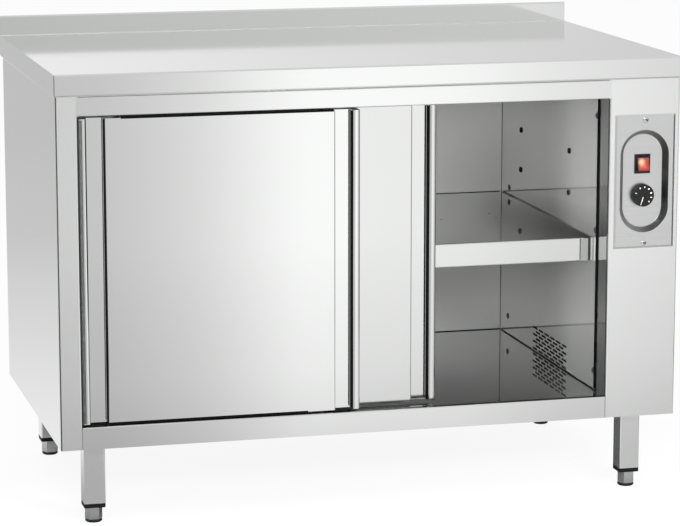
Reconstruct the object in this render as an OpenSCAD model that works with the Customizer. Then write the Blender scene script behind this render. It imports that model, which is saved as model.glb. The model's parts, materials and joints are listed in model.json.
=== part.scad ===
// Hot cupboard: a folded stainless cabinet on square legs with a worktop, a low upstand at
// the back, two top-hung sliding doors, one lift-out shelf and a fan heater behind the control
// column. +Z is up, the doors face -Y, and the origin is on the floor below the middle of the
// worktop.

/* [Worktop] */
// Width of the worktop
worktop_w = 1200; // [1000:10:1600]
// Depth of the worktop
worktop_d = 700; // [600:10:800]
// Height of the worktop above the floor
worktop_h = 850; // [800:5:950]
// Height of the worktop's folded edge
edge_h = 40; // [30:1:60]
// Height of the upstand above the worktop
upstand_h = 40; // [20:1:100]
// Thickness of the folded upstand
upstand_t = 10; // [8:1:25]
// Thickness of the worktop sheet
top_sheet = 1.5; // [1:0.1:2]
// Width of the hem under the worktop's edge
hem_w = 20; // [15:1:30]

/* [Carcass] */
// Height of the carcass above the floor
leg_h = 155; // [140:1:200]
// Thickness of the carcass sheet
sheet = 1.2; // [0.8:0.1:1.5]
// Inside radius of the folds in the sheet
fold_r = 1.2; // [0.8:0.1:2]
// Step of the carcass side behind the worktop's side edge
side_inset = 2; // [1:0.5:10]
// Step of the front frame behind the worktop's front edge
front_inset = 3; // [2:0.5:10]
// Overhang of the worktop behind the back panel
rear_inset = 30; // [20:1:60]
// Width of the left stile
stile_w = 40; // [30:1:60]
// Width of the control column
column_w = 140; // [138:1:200]
// Depth of the stile's inner return, which the doors pass in front of the walls
stile_d = 54; // [50:1:58]
// Height of the top rail
top_rail_h = 37; // [36:1:60]
// Height of the bottom rail
bottom_rail_h = 42; // [30:1:60]
// Drop of the cupboard floor below the bottom rail
floor_drop = 2; // [2:0.5:5]
// Step of the inner walls into the opening
wall_step = 0.5; // [0.5:0.5:1]
// Gap between the stile's return and the inner wall
wall_gap = 5; // [3:0.5:10]
// Gap under the inner walls
wall_foot_gap = 2.5; // [2:0.5:8]
// Drop of the ceiling below the carcass top
ceiling_drop = 12; // [8:1:20]
// Shadow gap between the worktop's hem and the front frame
frame_drop = 1; // [1:0.5:4]
// Seam left between the sides and the front frame
seam = 0.4; // [0.2:0.1:1]

/* [Doors] */
// Thickness of a door
door_t = 30; // [28:1:30]
// Gap between the planes of the two doors, and behind the front frame
door_gap = 3; // [2:0.5:3]
// Gap between a closed door and its stile
door_side_gap = 2; // [1:0.5:6]
// Gap above the doors
door_top_gap = 5; // [4:0.5:8]
// Gap below the doors
door_bottom_gap = 4.5; // [4:0.5:12]
// Overlap of the two closed doors
door_overlap = 42; // [20:1:80]
// Distance that the rear door stands open
rear_door_open = 328; // [0:1:380]
// Thickness of the door sheet
door_sheet = 1; // [0.8:0.1:1.2]
// Width of the rounded nose at a door's edge
nose_w = 15; // [12:1:18]
// Inside radius of the nose
nose_r = 4.4; // [3:0.1:4.4]
// Width of the finger groove beside the nose
grip_w = 33; // [25:1:45]
// Depth of the finger groove
grip_d = 16; // [12:1:17]
// Diameter of a roller
roller_d = 24; // [18:1:24]
// Width of a roller's tread
roller_w = 6.5; // [4:0.5:6.5]

/* [Shelf] */
// Height of the shelf's top above the cupboard floor
shelf_h = 299; // [250:1:330]
// Height of the shelf's front and rear aprons
apron_h = 46; // [30:1:60]
// Height of the shelf's side edges, which sit on the pins
shelf_edge_h = 14; // [10:1:20]
// Setback of the shelf behind the inner wall's front edge
shelf_setback = 23; // [5:1:60]
// Gap between the shelf and the walls
shelf_gap = 5; // [2:0.5:6]
// Diameter of a shelf pin
pin_d = 8; // [6:0.5:10]
// Length of a shelf pin inside the cupboard
pin_l = 14; // [10:1:20]
// Spacing of the pin holes up the wall
pin_pitch = 83; // [50:1:90]
// Levels of pin holes
pin_levels = 3; // [1:1:3]

/* [Controls] */
// Width of the control plate
plate_w = 121; // [110:1:130]
// Height of the control plate
plate_h = 257; // [230:1:280]
// Stand of the control plate in front of the column
plate_rise = 2; // [1.5:0.1:2]
// Width of the bevel round the control plate
plate_bevel = 4; // [2:0.5:5]
// Thickness of the control plate's sheet
plate_sheet = 1.2; // [0.8:0.1:1.2]
// Distance from the top of the column to the plate's upper edge
plate_drop = 68.5; // [50:0.5:120]
// Width of the pressed dish at its rim
dish_w = 94; // [80:1:100]
// Height of the pressed dish at its rim
dish_h = 194; // [180:1:200]
// Depth of the pressed dish
dish_d = 15; // [12:0.5:18]
// Slope of the dish wall, from its rim to its floor
dish_slope = 6; // [5:0.5:9]
// Radius of the dish's rim and of the fillet round its floor
dish_r = 3; // [2:0.5:4]
// Diameter of the thermostat knob
knob_d = 43; // [36:1:50]
// Height of the thermostat knob
knob_h = 10.5; // [8:0.5:14]
// Width of the switch's bezel
switch_w = 31; // [26:1:34]
// Height of the switch's bezel
switch_h = 37; // [34:1:42]
// Tilt of the rocker to each side
rocker_tilt = 11; // [6:1:13]

/* [Legs] */
// Width of a leg's square tube
leg_w = 40; // [30:1:50]
// Wall of a leg's tube
leg_wall = 1.5; // [1:0.1:2]
// Inset of a leg from the carcass's sides, front and rear
leg_inset = 50; // [40:1:80]
// Height of the foot below a leg's plug, fully screwed in
foot_h = 30; // [25:1:40]
// Height of the plug's collar
plug_collar_h = 8; // [5:0.5:12]
// Diameter of the foot's threaded stem
stem_d = 10; // [8:1:12]
// Width of the foot's hexagon across its corners
hex_d = 33; // [26:1:38]
// Diameter of the foot pad
pad_d = 32; // [26:1:38]
// Height of the foot pad
pad_h = 6; // [4:0.5:10]

/* [Heater] */
// Diameter of the blower's rotor
rotor_d = 44; // [36:1:48]
// Length of the blower's rotor
rotor_l = 190; // [150:1:200]
// Blades on the rotor
rotor_blades = 18; // [12:1:24]
// Rows of vent slots in the inner wall
vent_rows = 7; // [3:1:7]
// Slots in a full row of vents
vent_slots = 6; // [3:1:6]
// Length of a vent slot
slot_l = 30; // [20:1:32]
// Width of a vent slot
slot_w = 4.5; // [3:0.5:5]
// Spacing of the vent slots along a row
slot_pitch = 36.5; // [36:0.5:40]
// Spacing of the rows of vents
row_pitch = 7.3; // [7:0.1:8]

/* [Hidden] */
$fn = 48;
ENDS = ["left", "right"];
CORNERS = ["front_left", "front_right", "rear_left", "rear_right"];
steel = "#c9ccce";
bright = "#dcdfe0";
black = "#1c1c1e";
// Flat pieces round each fold of a sheet
bend_steps = 4;
// Overrun of every cut
over = 1;
// Running clearance of a shaft in its bore
run = 0.05;
// Clearance between curved faces that pass each other
clear = 0.3;

// Carcass faces
x_left = side_inset - worktop_w / 2;
x_right = worktop_w / 2 - side_inset;
y_edge = -worktop_d / 2;
y_front = y_edge + front_inset;
y_rear = worktop_d / 2 - rear_inset;
z_base = leg_h;
z_top = worktop_h - edge_h;
z_frame = z_top - frame_drop;
open_x = [x_left + stile_w, x_right - column_w];
open_z = [z_base + bottom_rail_h, z_top - top_rail_h];
floor_z = open_z[0] - floor_drop;
wall_x = [open_x[0] + wall_step, open_x[1] - wall_step];
wall_y = [y_front + stile_d + wall_gap, y_rear - sheet];
wall_z = [floor_z + wall_foot_gap, z_top - ceiling_drop];
frame_lip = 12;
flange_w = 20;
// The wall's rear edge is folded towards the cavity, against the back panel
wall_fold = 14;

// Worktop stiffeners: hat sections along the worktop
hat_w = 60;
hat_h = 26;
hat_flange = 15;
hat_y_shares = [-0.3, 0, 0.3];
hat_inset = 12;

// Doors, hung in two planes
door_w = (open_x[1] - open_x[0] + door_overlap) / 2 - door_side_gap;
door_z = [open_z[0] + door_bottom_gap, open_z[1] - door_top_gap];
front_door_x = open_x[0] + door_side_gap;
rear_door_x = open_x[1] - door_side_gap - door_w - rear_door_open;
front_door_y = y_front + door_gap;
rear_door_y = front_door_y + door_t + door_gap;
door_rail_h = 20;
door_rail_drop = 4;
door_seat_z = door_z[1] - door_rail_drop;
panel_inset = nose_w + grip_w;
panel_r = 1.5;
groove_w = 7;
groove_d = 7;
groove_y = (grip_d + door_t) / 2 - door_sheet;
groove_fold_r = 0.5;
core_gap = 0.5;

// Front edge of the ceiling, behind the doors
ceiling_gap = 3;
ceiling_y = rear_door_y + door_t + ceiling_gap;

// Door track: a double C channel under the top rail's flange
track_wall = 1.6;
track_half = (door_t - door_gap + seam) / 2;
track_lip_t = 2.5;
track_foot = 3;
track_z = [open_z[1] + track_foot, z_frame - sheet];
slot_half = 5;
roller_z = track_z[0] + track_lip_t + clear + roller_d / 2;

// Hangers, with the rollers' axle through their upper end
hanger_foot = [40, 22];
hanger_foot_t = 3;
hanger_w = 26;
hanger_t = 5;
hanger_inset = 90;
axle_d = 6;
axle_head_d = 10;
axle_head_t = 0.9;
roller_hub_d = 10;

// Floor guide
guide_l = 42;
guide_gap = 1;
guide_base_t = door_z[0] - floor_z - guide_gap;
guide_fin_t = 5;
guide_margin = 10;
guide_x = front_door_x + door_w - guide_l - nose_w;

// Shelf and its pins
shelf_z = floor_z + shelf_h;
shelf_x = [wall_x[0] + shelf_gap, wall_x[1] - shelf_gap];
shelf_y = [wall_y[0] + shelf_setback, wall_y[1] - shelf_gap];
shelf_hem = 12;
pin_hole_d = 6;
pin_z = shelf_z - shelf_edge_h - clear - pin_d / 2;
pin_tail = 6;
pin_collar_t = 1.5;
pin_collar_d = 12;
pin_y_shares = [0.283, 0.786];
pin_ys = [for (s = pin_y_shares) wall_y[0] + s * (wall_y[1] - wall_y[0])];

// Screws that hold the inner walls
screw_d = 4;
screw_head_d = 8;
screw_head_h = 1.6;
screw_tail = 6;
screw_edge = 12;
screw_rear = 53;
screw_z_shares = [0.06, 0.52, 0.89];
screw_ys = [wall_y[0] + screw_edge, wall_y[1] - screw_rear];
screw_zs = [for (s = screw_z_shares) wall_z[0] + s * (wall_z[1] - wall_z[0])];

// Control plate: its face, its dish and what the dish carries
plate_x = x_right - column_w / 2 + side_inset / 2;
plate_z = z_top - plate_drop - plate_h / 2;
plate_y = y_front - plate_rise;
dish_spine = (dish_h - dish_w) / 2;
dish_floor_y = plate_y + dish_d;
dish_back_y = dish_floor_y + plate_sheet;
cutout_gap = 3;
plate_screw_d = 4;
plate_screw_head_d = 9;
plate_screw_head_h = 1;
plate_screw_tail = 8;
plate_screw_edge = 10;
switch_share = 0.32;
knob_share = -0.28;
switch_z = plate_z + 2 * dish_spine * switch_share;
knob_z = plate_z + 2 * dish_spine * knob_share;
bezel_t = 2.2;
bezel_border = 3;
switch_tray = 14;
switch_wall = 1.2;
switch_back = 12;
rocker_r = switch_h / 2 - bezel_border - clear;
rocker_core = 6;
pivot_y = dish_floor_y + 1.5;
knob_gap = 1;
knob_cap = 2.5;
knob_chamfer = 1.2;
shaft_d = 6;
bush_d = 10;
bush_nut_t = 0.6;
thermostat_w = 44;
thermostat_t = 24;

// Legs and feet
leg_xs = [x_left + leg_inset + leg_w / 2, x_right - leg_inset - leg_w / 2];
leg_ys = [y_front + leg_inset + leg_w / 2, y_rear - leg_inset - leg_w / 2];
leg_z = foot_h + plug_collar_h;
leg_r = 3;
plug_h = 20;
plug_half = leg_w / 2 - leg_wall - clear;
stem_top = foot_h + plug_collar_h + plug_h + foot_h;
pad_chamfer = 2;
pad_neck = 2;

// Heater box: blower, element and vents share one middle
vent_y_share = 0.458;
vent_y = wall_y[0] + vent_y_share * (wall_y[1] - wall_y[0]);
vent_h = (vent_rows - 1) * row_pitch + slot_w;
vent_foot = 1.5;
vent_z = wall_z[0] + vent_foot + vent_h / 2;
rotor_axis = [wall_x[1] + sheet + 50, vent_z + 6];
rotor_gap = 3;
rotor_disc_t = 2;
blade_t = 1;
blade_l = 8;
blade_lean = 30;
hub_d = 16;
hub_l = 14;
motor_shaft_d = 6;
duct_wall = 1.2;
duct_l = rotor_l + 2 * rotor_gap;
motor_d = 58;
motor_l = 45;
motor_boss_d = 20;
motor_boss_l = 6;
rod_d = 8;
rod_pitch = 24;
rod_x = wall_x[1] + sheet + 15;
fin_d = 18;
fin_t = 0.8;
fin_count = 18;
rod_l_share = 0.86;
rod_tail = 24;
block_w = 30;
block_l = 64;
block_h = 18;
block_inset = 60;
terminal_d = 6;
terminal_count = 4;
gland_d = 20;
gland_hex_d = 27;
gland_hex_t = 6;
gland_dome_l = 14;
gland_bore_d = 9;
gland_tail = 10;
gland_nut_t = 5;
gland_x = x_right - column_w / 2;
gland_lift = 60;
gland_z = z_base + gland_lift;

// A block between two corners, given as a span on each axis
module span(x, y, z)
    translate([x[0], y[0], z[0]])
        cube([x[1] - x[0], y[1] - y[0], z[1] - z[0]]);

// Outline in X and Y, raised along Z
module along_z(z)
    translate([0, 0, z[0]])
        linear_extrude(z[1] - z[0])
            children();

// Outline in Y and Z, drawn along X
module along_x(x)
    translate([x[0], 0, 0])
        rotate([90, 0, 90])
            linear_extrude(x[1] - x[0])
                children();

// Outline in X and Z, drawn along Y
module along_y(y)
    translate([0, y[1], 0])
        rotate([90, 0, 0])
            linear_extrude(y[1] - y[0])
                children();

// Round bar along X or Y from a start point
module bar_x(at, d, l)
    translate(at)
        rotate([0, 90, 0])
            cylinder(d = d, h = l);

module bar_y(at, d, l)
    translate(at)
        rotate([-90, 0, 0])
            cylinder(d = d, h = l);

module rounded(a, b, r) {
    translate([a[0] + r, a[1]]) square([b[0] - a[0] - 2 * r, b[1] - a[1]]);
    translate([a[0], a[1] + r]) square([b[0] - a[0], b[1] - a[1] - 2 * r]);
    for (x = [a[0] + r, b[0] - r], y = [a[1] + r, b[1] - r])
        translate([x, y]) circle(r);
}

// Slot with round ends, centred, long side along the first axis
module stadium(length, width) {
    straight = length - width;
    square([straight, width], center = true);
    for (side = [-1, 1])
        translate([side * straight / 2, 0]) circle(d = width);
}

// Section of a folded sheet. The path runs along one face of the sheet, which lies to its
// left (hand = 1) or right (hand = -1), and every corner of the path is a fold.
function unit(v) = v / norm(v);
function left_of(v) = [-v[1], v[0]];
function turned(v, a) = [v[0] * cos(a) - v[1] * sin(a), v[0] * sin(a) + v[1] * cos(a)];
function radius_at(r, i) = is_list(r) ? r[i - 1] : r;
function fold_arc(p, q, s, hand, r, t, off) =
    let (u = unit(q - p))
    let (v = unit(s - q))
    let (way = sign(cross(u, v)))
    let (bend = acos(u * v))
    let (path_r = way * hand > 0 ? r + t : r)
    let (centre = q - path_r * tan(bend / 2) * u + way * path_r * left_of(u))
    let (reach = path_r - way * hand * off)
    [for (i = [0:bend_steps]) centre - way * reach * turned(left_of(u), way * bend * i / bend_steps)];
function fold_side(path, hand, r, t, off) =
    let (last = len(path) - 1)
    concat(
        [path[0] + hand * off * left_of(unit(path[1] - path[0]))],
        [for (i = [1:last - 1]) each
            fold_arc(path[i - 1], path[i], path[i + 1], hand, radius_at(r, i), t, off)],
        [path[last] + hand * off * left_of(unit(path[last] - path[last - 1]))]);
function backwards(list) = [for (i = [len(list) - 1:-1:0]) list[i]];
module folded(path, hand, r, t)
    polygon(concat(fold_side(path, hand, r, t, 0), backwards(fold_side(path, hand, r, t, t))));

// Worktop: front edge, top and upstand are one folded sheet, with welded ends
worktop_path = [
    [y_edge + hem_w, z_top], [y_edge, z_top], [y_edge, worktop_h],
    [-y_edge - upstand_t, worktop_h], [-y_edge - upstand_t, worktop_h + upstand_h],
    [-y_edge, worktop_h + upstand_h], [-y_edge, z_top], [-y_edge - hem_w, z_top]
];

module worktop() color(bright) {
    along_x([-worktop_w / 2, worktop_w / 2])
        folded(worktop_path, -1, top_sheet, top_sheet);
    for (side = [-1, 1]) {
        end_x = side * worktop_w / 2;
        inner_x = end_x - side * top_sheet;
        along_x([min(end_x, inner_x), max(end_x, inner_x)])
            polygon(fold_side(worktop_path, -1, top_sheet, top_sheet, 0));
        hem_x = end_x - side * hem_w / 2;
        span([min(end_x, hem_x), max(end_x, hem_x)],
            [y_edge + hem_w, -y_edge - hem_w], [z_top, z_top + top_sheet]);
    }
}

module hat_section(w, h, flange, t)
    folded([[-w / 2 - flange, 0], [-w / 2, 0], [-w / 2, -h], [w / 2, -h], [w / 2, 0],
        [w / 2 + flange, 0]], -1, fold_r, t);

module worktop_stiffeners() color(steel)
    for (share = hat_y_shares)
        along_x([hat_inset - worktop_w / 2, worktop_w / 2 - hat_inset])
            translate([share * worktop_d, worktop_h - top_sheet])
                hat_section(hat_w, hat_h, hat_flange, sheet);

// Side panel with a flange under the worktop's hem; drawn for the left, mirrored for the right
module side_panel() color(bright)
    along_y([y_front + frame_lip + seam, y_rear])
        folded([[x_left, z_base], [x_left, z_top], [x_left + flange_w, z_top]], -1, fold_r, sheet);

module left_side_panel() side_panel();

module right_side_panel()
    mirror([1, 0, 0]) side_panel();

module back_panel() color(steel)
    difference() {
        span([x_left + sheet, x_right - sheet], [y_rear - sheet, y_rear],
            [z_base, z_top - sheet - fold_r]);
        bar_y([gland_x, y_rear - sheet - over, gland_z], gland_d + 2 * run, sheet + 2 * over);
    }

// Base: a tray between the sides, notched at the front where the stile and column stand
module base_panel() color(steel)
    difference() {
        along_y([y_front + sheet, y_rear - sheet])
            folded([[x_left + sheet, z_base + flange_w], [x_left + sheet, z_base],
                [x_right - sheet, z_base], [x_right - sheet, z_base + flange_w]], 1, fold_r, sheet);
        for (x = [[x_left - over, open_x[0]], [open_x[1], x_right + over]])
            span(x, [y_front - over, y_front + stile_d], [z_base - over, z_base + flange_w + over]);
    }

module floor_panel() color(steel)
    along_x([open_x[0], open_x[1]])
        folded([[y_front + sheet, z_base + sheet], [y_front + sheet, floor_z],
            [y_rear - sheet, floor_z]], -1, fold_r, sheet);

module ceiling_panel() color(steel)
    span([wall_x[0] - sheet, wall_x[1] + sheet], [ceiling_y, wall_y[1]],
        [wall_z[1], wall_z[1] + sheet]);

// Inner wall, drawn with its visible face at the given x; the cavity lies to the side `out`. Its front
// edge stands beside the doors' path and is cut away under the track.
module wall_sheet(x, out)
    difference() {
        along_z(wall_z)
            folded([[x, wall_y[0]], [x, wall_y[1]], [x + out * wall_fold, wall_y[1]]],
                -out, fold_r, sheet);
        span([x - 2 * sheet, x + 2 * sheet], [wall_y[0] - over, ceiling_y],
            [open_z[1], wall_z[1] + over]);
    }

module wall_holes(x, out) {
    start = x - (out > 0 ? over : sheet + over);
    depth = sheet + 2 * over;
    for (y = pin_ys, level = [0:pin_levels - 1])
        bar_x([start, y, pin_z + level * pin_pitch], pin_hole_d, depth);
    for (y = screw_ys, z = screw_zs)
        bar_x([start, y, z], screw_d + 2 * run, depth);
}

module left_inner_wall() color(steel)
    difference() {
        wall_sheet(wall_x[0], -1);
        wall_holes(wall_x[0], -1);
    }

// Staggered rows of round-ended slots, full rows and rows one slot shorter in turn
module vent_field()
    for (row = [0:vent_rows - 1]) {
        count = vent_slots - row % 2;
        z = vent_z + ((vent_rows - 1) / 2 - row) * row_pitch;
        for (i = [0:count - 1])
            translate([vent_y + (i - (count - 1) / 2) * slot_pitch, z])
                stadium(slot_l, slot_w);
    }

module right_inner_wall() color(steel)
    difference() {
        wall_sheet(wall_x[1], 1);
        wall_holes(wall_x[1], 1);
        along_x([wall_x[1] - over, wall_x[1] + sheet + over]) vent_field();
    }

module left_stile() color(bright)
    along_z([z_base, z_frame])
        folded([[x_left, y_front + frame_lip], [x_left, y_front], [open_x[0], y_front],
            [open_x[0], y_front + stile_d], [open_x[0] - frame_lip, y_front + stile_d]],
            1, fold_r, sheet);

module control_column() color(bright)
    difference() {
        along_z([z_base, z_frame])
            folded([[open_x[1] + frame_lip, y_front + stile_d], [open_x[1], y_front + stile_d],
                [open_x[1], y_front], [x_right, y_front], [x_right, y_front + frame_lip]],
                1, fold_r, sheet);
        along_y([y_front - over, y_front + sheet + over])
            translate([plate_x, plate_z])
                rotate(90) stadium(dish_h + 2 * cutout_gap, dish_w + 2 * cutout_gap);
        plate_screw_places()
            bar_y([0, y_front - over, 0], plate_screw_d + 2 * run, sheet + 2 * over);
    }

// Weld that fills the groove between a rail's end and the stile's or column's round fold, ground
// flush with both
module frame_weld(side, z) {
    r = fold_r + sheet;
    way = side == 0 ? 1 : -1;
    weld = concat(arc([0, r], r, 270, 360), [[r, 0]]);
    along_z(z)
        translate([open_x[side] - way * r, y_front])
            polygon([for (p = weld) [way * p[0], p[1]]]);
}

module top_rail() color(bright) {
    along_x(open_x)
        folded([[y_front + frame_lip, open_z[1]], [y_front, open_z[1]], [y_front, z_frame],
            [ceiling_y - sheet, z_frame]], -1, fold_r, sheet);
    for (side = [0, 1])
        frame_weld(side, [open_z[1] + fold_r + sheet, z_frame - fold_r - sheet]);
}

module bottom_rail() color(bright) {
    along_x(open_x)
        folded([[y_front, z_base], [y_front, open_z[0]], [y_front + frame_lip, open_z[0]]],
            -1, fold_r, sheet);
    for (side = [0, 1])
        frame_weld(side, [z_base, open_z[0] - fold_r - sheet]);
}

// Track: two C channels on one head plate, each with a slot for the hangers between its lips
module track_channel(y)
    for (side = [-1, 1]) {
        wall = [y + side * track_half, y + side * (track_half + track_wall)];
        lip = [y + side * slot_half, y + side * (track_half + track_wall)];
        translate([min(wall), track_z[0]]) square([abs(wall[1] - wall[0]), track_z[1] - track_z[0]]);
        translate([min(lip), track_z[0]]) square([abs(lip[1] - lip[0]), track_lip_t]);
    }

module door_track() color("#b4b8bb")
    along_x([open_x[0] + seam, open_x[1] - seam]) {
        for (y = [front_door_y, rear_door_y])
            track_channel(y + door_t / 2);
        half = track_half + track_wall;
        translate([front_door_y + door_t / 2 - half, track_z[1] - track_wall])
            square([rear_door_y - front_door_y + 2 * half, track_wall]);
    }

module door_guide() color(black) {
    span([guide_x, guide_x + guide_l],
        [front_door_y + guide_margin, rear_door_y + door_t - guide_margin],
        [floor_z, floor_z + guide_base_t]);
    for (y = [front_door_y, rear_door_y])
        along_x([guide_x, guide_x + guide_l])
            translate([y + groove_y - guide_fin_t / 2, floor_z])
                square([guide_fin_t, guide_base_t + groove_d - guide_gap]);
}

// Door skin: nose, finger groove, panel, finger groove and nose are folded from one sheet
function door_path(x, y) =
    let (front = [for (side = [0, 1]) x + side * door_w])
    let (back = y + door_t - door_sheet)
    let (deep = y + grip_d)
    [[front[0], back], [front[0], y], [front[0] + nose_w, y], [front[0] + nose_w, deep],
        [front[0] + panel_inset, deep], [front[0] + panel_inset, y],
        [front[1] - panel_inset, y], [front[1] - panel_inset, deep], [front[1] - nose_w, deep],
        [front[1] - nose_w, y], [front[1], y], [front[1], back]];
door_radii = [nose_r, nose_r, panel_r, panel_r, panel_r, panel_r, panel_r, panel_r, nose_r, nose_r];

module door_skin(x, y) color(bright)
    difference() {
        along_z(door_z) folded(door_path(x, y), 1, door_radii, door_sheet);
        span([x - over, x + door_w + over],
            [y + groove_y - groove_w / 2, y + groove_y + groove_w / 2],
            [door_z[0] - over, door_z[0] + groove_d]);
    }

module door_back(x, y) color(steel)
    span([x, x + door_w], [y + door_t - door_sheet, y + door_t], door_z);

module door_core(x, y) color("#d8cf9a")
    span([x + panel_inset + door_sheet + core_gap, x + door_w - panel_inset - door_sheet - core_gap],
        [y + door_sheet + core_gap, y + door_t - door_sheet - core_gap],
        [door_z[0] + door_rail_h + core_gap, door_seat_z - door_rail_h - core_gap]);

// Folded channels that close the door's top and bottom; the bottom one has the guide groove
module door_rails(x, y) color(steel) {
    faces = [y + door_sheet, y + door_t - door_sheet];
    groove = [y + groove_y - groove_w / 2, y + groove_y + groove_w / 2];
    inset = panel_inset + door_sheet + panel_r;
    along_x([x + inset, x + door_w - inset]) {
        folded([[faces[0], door_seat_z - door_rail_h], [faces[0], door_seat_z],
            [faces[1], door_seat_z], [faces[1], door_seat_z - door_rail_h]], -1, fold_r, sheet);
        folded([[faces[0], door_z[0] + door_rail_h], [faces[0], door_z[0]],
            [groove[0], door_z[0]], [groove[0], door_z[0] + groove_d],
            [groove[1], door_z[0] + groove_d], [groove[1], door_z[0]],
            [faces[1], door_z[0]], [faces[1], door_z[0] + door_rail_h]], 1, groove_fold_r, sheet);
    }
}

function hanger_x(x, end) = x + (end == 0 ? hanger_inset : door_w - hanger_inset);

// Hanger: a foot on the door's top, an upright plate through the track's slot, a riveted axle
module door_hangers(x, y) color("#9a9da0")
    for (end = [0, 1]) {
        at_x = hanger_x(x, end);
        mid_y = y + door_t / 2;
        span([at_x - hanger_foot[0] / 2, at_x + hanger_foot[0] / 2],
            [mid_y - hanger_foot[1] / 2, mid_y + hanger_foot[1] / 2],
            [door_seat_z, door_seat_z + hanger_foot_t]);
        along_y([mid_y - hanger_t / 2, mid_y + hanger_t / 2]) {
            translate([at_x - hanger_w / 2, door_seat_z]) square([hanger_w, roller_z - door_seat_z]);
            translate([at_x, roller_z]) circle(d = hanger_w);
        }
        axle_end = track_half - clear;
        bar_y([at_x, mid_y - axle_end, roller_z], axle_d, 2 * axle_end);
        for (head = [-axle_end, axle_end - axle_head_t])
            bar_y([at_x, mid_y + head, roller_z], axle_head_d, axle_head_t);
    }

// A pair of rollers on one axle, one on each lip of the track
module door_roller(x, y, end) color("#e6e4da")
    translate([hanger_x(x, end), y + door_t / 2, roller_z])
        for (side = [0, 180])
            rotate([90, 0, side])
                rotate_extrude()
                    difference() {
                        outer = track_half - axle_head_t - 2 * clear;
                        union() {
                            translate([0, outer - roller_w]) square([roller_d / 2, roller_w]);
                            translate([0, hanger_t / 2 + clear])
                                square([roller_hub_d / 2, outer - hanger_t / 2 - clear]);
                        }
                        square([axle_d / 2 + run, outer + over]);
                    }

// Shelf: top with deep front and rear aprons, and low side edges that sit on the pins
module shelf() color(bright) {
    along_x(shelf_x)
        folded([[shelf_y[0] + shelf_hem, shelf_z - apron_h], [shelf_y[0], shelf_z - apron_h],
            [shelf_y[0], shelf_z], [shelf_y[1], shelf_z], [shelf_y[1], shelf_z - apron_h],
            [shelf_y[1] - shelf_hem, shelf_z - apron_h]], -1, fold_r, sheet);
    inner = [shelf_y[0] + sheet, shelf_y[1] - sheet];
    edge_z = shelf_z - shelf_edge_h;
    for (side = [0, 1]) {
        face = [shelf_x[side], shelf_x[side] + (side == 0 ? sheet : -sheet)];
        hem = [shelf_x[side], shelf_x[side] + (side == 0 ? shelf_hem : -shelf_hem)];
        span([min(face), max(face)], inner, [edge_z, shelf_z - sheet / 2]);
        span([min(hem), max(hem)], inner, [edge_z, edge_z + sheet]);
    }
}

module shelf_stiffener() color(steel)
    along_x([shelf_x[0] + hat_w, shelf_x[1] - hat_w])
        translate([(shelf_y[0] + shelf_y[1]) / 2, shelf_z - sheet])
            hat_section(hat_w, hat_h, hat_flange, sheet);

// Stud through the wall with a collar on the wall's face; drawn along its own +Z
module stud(d, l, collar_d, collar_t, tail_d, tail_l) {
    cylinder(d = d, h = l);
    cylinder(d = collar_d, h = collar_t);
    translate([0, 0, -tail_l]) cylinder(d = tail_d, h = tail_l + collar_t);
}

// Places children on both inner walls, looking into the cupboard
module on_walls(ys, zs)
    for (side = [0, 1], y = ys, z = zs)
        translate([wall_x[side], y, z])
            rotate([0, side == 0 ? 90 : -90, 0])
                children();

module shelf_pins() color("#8f9295")
    on_walls(pin_ys, [pin_z])
        stud(pin_d, pin_l, pin_collar_d, pin_collar_t, pin_hole_d - 2 * run, pin_tail);

module wall_screws() color("#8f9295")
    on_walls(screw_ys, screw_zs)
        stud(screw_head_d / 2, screw_head_h, screw_head_d, screw_head_h / 2, screw_d, screw_tail);

// Control plate. The section runs from the dish's floor up its wall to the plate's face, as
// distances from the dish's spine and depths behind the face, and is swept round a stadium.
function arc(c, r, from, to) =
    [for (i = [0:bend_steps]) c + r * [cos(from + (to - from) * i / bend_steps),
        sin(from + (to - from) * i / bend_steps)]];
dish_lean = atan(dish_slope / dish_d);
function dish_side(off) =
    let (rim_r = dish_w / 2 + dish_r)
    let (floor_r = dish_w / 2 - dish_slope - dish_r)
    concat(
        arc([rim_r, dish_r], dish_r - off, 270, 180 + dish_lean),
        arc([floor_r, dish_d - dish_r], dish_r + off, dish_lean, 90));
dish_section = concat(
    [[dish_w / 2 + dish_r, 0]], dish_side(0), [[0, dish_d]],
    [[0, dish_d + plate_sheet]], backwards(dish_side(plate_sheet)),
    [[dish_w / 2 + dish_r, plate_sheet]]);

module dish_shell() {
    for (end = [-1, 1])
        translate([0, 0, end * dish_spine])
            rotate([-90, 0, 0])
                rotate(end > 0 ? 180 : 0)
                    rotate_extrude(angle = 180) polygon(dish_section);
    for (side = [0, 1])
        mirror([side, 0, 0])
            along_z([-dish_spine, dish_spine]) polygon(dish_section);
}

// Section of the plate across its width or height: a flat face with a bevel down to the column
function plate_section(size) =
    [[-size / 2, plate_rise], [plate_bevel - size / 2, 0], [size / 2 - plate_bevel, 0],
        [size / 2, plate_rise]];

// Flat blank with mitred bevels
module plate_blank(w, h)
    intersection() {
        along_z([-h / 2, h / 2]) polygon(plate_section(w));
        along_x([-w / 2, w / 2]) polygon(plate_section(h) * [[0, 1], [1, 0]]);
    }

module plate_face()
    difference() {
        plate_blank(plate_w, plate_h);
        span([plate_bevel - plate_w / 2, plate_w / 2 - plate_bevel], [plate_sheet, plate_rise + over],
            [plate_bevel - plate_h / 2, plate_h / 2 - plate_bevel]);
        along_y([-over, plate_rise + over])
            rotate(90) stadium(dish_h + 2 * dish_r, dish_w + 2 * dish_r);
    }

module plate_screw_places()
    for (side = [-1, 1])
        translate([plate_x, 0, plate_z + side * (plate_h / 2 - plate_screw_edge)])
            children();

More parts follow.
